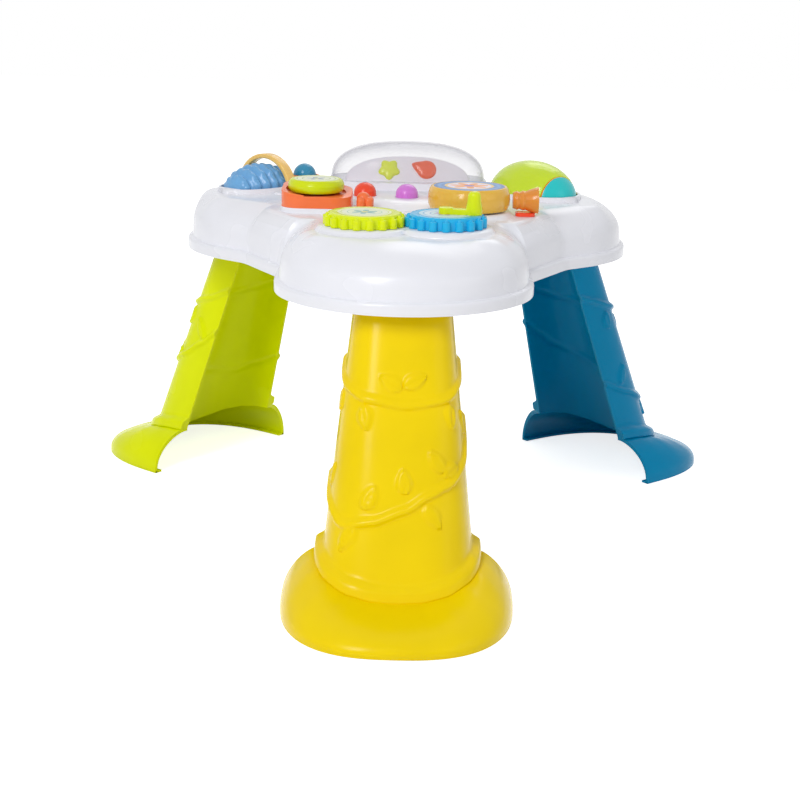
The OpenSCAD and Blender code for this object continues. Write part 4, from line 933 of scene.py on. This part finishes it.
# rings start at a share of the disc's radius; petals are sized by shares of it too
prints = {
    "lime_gear_label": printedVinyl(
        "limeGearPrint", discCentre("lime_gear_label"), "E6EEC8",
        [(0.62, "9FC9A0"), (0.66, "EAF0CF"), (0.86, "C9DB6A"), (0.9, "EEF3C6")],
        {"disc": 26, "count": 6, "turn": 0.4, "length": 0.34, "hub": 0.16,
         "colour": "6FAFA6", "heart": "E4D95A"}),
    "blue_gear_label": printedVinyl(
        "blueGearPrint", discCentre("blue_gear_label"), "C4E4EE",
        [(0.56, "7FA8D8"), (0.6, "D6E9F4"), (0.8, "79B9DE"), (0.86, "BEE2F2")],
        {"disc": 26, "count": 8, "turn": 0.9, "length": 0.26, "hub": 0.2,
         "colour": "A98FD0", "heart": "F4F6FA"}),
    "lime_pad_label": printedVinyl(
        "padPrint", discCentre("lime_pad_label"), "E9EFD2",
        [(0.6, "A9BF6A"), (0.65, "EEF2DA"), (0.84, "9DB84A"), (0.88, "E2EBB4")],
        {"disc": 23, "count": 5, "turn": 0.2, "length": 0.3, "hub": 0.14,
         "colour": "9AA8B8", "heart": "D7DF66"}),
    "amber_drum_label": printedVinyl(
        "drumPrint", discCentre("amber_drum_label"), "EDE3F2",
        [(0.62, "F6C862"), (0.7, "3F7FC0"), (0.8, "5C97D2"), (0.9, "356FB0")],
        {"disc": 36, "count": 7, "turn": 0.6, "length": 0.38, "hub": 0.18,
         "colour": "F59A34", "heart": "7F5CBC"}),
}
plain = {
    "bottom_cover": coverAbs, "battery_door": coverAbs, "circuit_board": boardFibre, "board_screws": steel,
    "switches": darkAbs, "speaker": coneCard, "battery_cells": cellWrap, "battery_contacts": steel,
    "door_screw": steel, "power_switch": darkAbs, "case_screws": steel, "egg_axle": steel, "rib_axle": steel,
    "lime_gear_clip": darkAbs, "blue_gear_clip": darkAbs, "lime_pad_bellows": greySilicone,
    "amber_drum_bellows": greySilicone, "red_bellows": greySilicone, "purple_bellows": greySilicone,
    "yellow_bellows": greySilicone,
}
for node, material in {**prints, **plain}.items():
    for slot in cadNodes[node].material_slots:
        slot.material = material
print("node materials done")

# Floor, light and camera
studio = {  # metres and watts
    "floorHalf": 6.0, "floorDrop": 0.0005, "floor": "F7F7F7", "floorGlow": 0.75, "world": 0.47,
    "aim": (0, 0, 0.25),
    "lamps": [  # name, place, power, width, height
        ("keyLamp", (-0.95, -1.95, 1.85), 29, 0.55, 1.3), ("fillLamp", (1.9, -1.2, 1.3), 4, 1.4, 1.4),
        ("backLamp", (0.4, 1.8, 1.9), 7, 1.2, 1.2),
    ],
}
view = {  # metres, millimetres of lens, radians for tilt and pan, degrees for roll
    "at": (0.0102, -1.6502, 0.5857), "lens": 73.5, "sensor": 36, "shift": (-0.0029, 0.0055),
    "tilt": 0.27, "pan": 0.006, "roll": 1.15,
}


def backdropRays(tree):  # 1 for rays that should see the white backdrop itself
    ray = addNode(tree, "ShaderNodeLightPath")
    mirrored = addNode(tree, "ShaderNodeMath", operation="MAXIMUM",
                       links={0: ray.outputs["Is Camera Ray"], 1: ray.outputs["Is Glossy Ray"]})
    through = addNode(tree, "ShaderNodeMath", operation="MAXIMUM",
                      links={0: mirrored.outputs[0], 1: ray.outputs["Is Transmission Ray"]})
    return through.outputs[0]


def buildStudio():
    bpy.ops.object.select_all(action="DESELECT")
    bpy.ops.mesh.primitive_plane_add(size=2 * studio["floorHalf"], location=(0, 0, -studio["floorDrop"]))
    floor = newestAs("floor")
    settle(floor)
    material, tree = startMaterial("paintedFloor")
    shader = addNode(tree, "ShaderNodeBsdfDiffuse", {"Color": toLinear(studio["floor"])})
    light = addNode(tree, "ShaderNodeEmission", {"Color": (1, 1, 1, 1), "Strength": studio["floorGlow"]})
    whole = addNode(tree, "ShaderNodeAddShader", links={0: shader.outputs[0], 1: light.outputs[0]})
    seen = addNode(tree, "ShaderNodeMixShader",
                   links={0: backdropRays(tree), 1: shader.outputs[0], 2: whole.outputs[0]})
    addNode(tree, "ShaderNodeOutputMaterial", links={"Surface": seen.outputs[0]})
    wear(floor, material)

    world = bpy.data.worlds.new("studioWorld")
    bpy.context.scene.world = world
    world.use_nodes = True
    tree = world.node_tree
    tree.nodes.clear()
    level = addNode(tree, "ShaderNodeMapRange", {"To Min": studio["world"], "To Max": 1.0},
                    {"Value": backdropRays(tree)})
    sky = addNode(tree, "ShaderNodeBackground", {"Color": (1, 1, 1, 1)},
                  {"Strength": level.outputs["Result"]})
    addNode(tree, "ShaderNodeOutputWorld", links={"Surface": sky.outputs[0]})

    for name, spot, energy, wide, high in studio["lamps"]:
        bpy.ops.object.select_all(action="DESELECT")
        bpy.ops.object.light_add(type="AREA", location=spot)
        lamp = newestAs(name)
        lamp.data.energy = energy
        lamp.data.shape = "RECTANGLE"
        lamp.data.size = wide
        lamp.data.size_y = high
        lamp.rotation_euler = (Vector(studio["aim"]) - Vector(spot)).to_track_quat("-Z", "Y").to_euler()


def buildCamera():
    camera = bpy.data.objects.new("camera", bpy.data.cameras.new("camera"))
    bpy.context.scene.collection.objects.link(camera)
    camera.data.lens = view["lens"]
    camera.data.sensor_width = view["sensor"]
    camera.data.shift_x, camera.data.shift_y = view["shift"]
    pan = Matrix.Rotation(view["pan"], 4, "Z")
    tilt = Matrix.Rotation(math.pi / 2 - view["tilt"], 4, "X")
    roll = Matrix.Rotation(math.radians(view["roll"]), 4, "Z")
    camera.matrix_world = Matrix.Translation(view["at"]) @ (pan @ tilt @ roll)
    bpy.context.scene.camera = camera


buildStudio()
buildCamera()
bpy.context.scene.view_settings.view_transform = "Standard"
print("studio done")
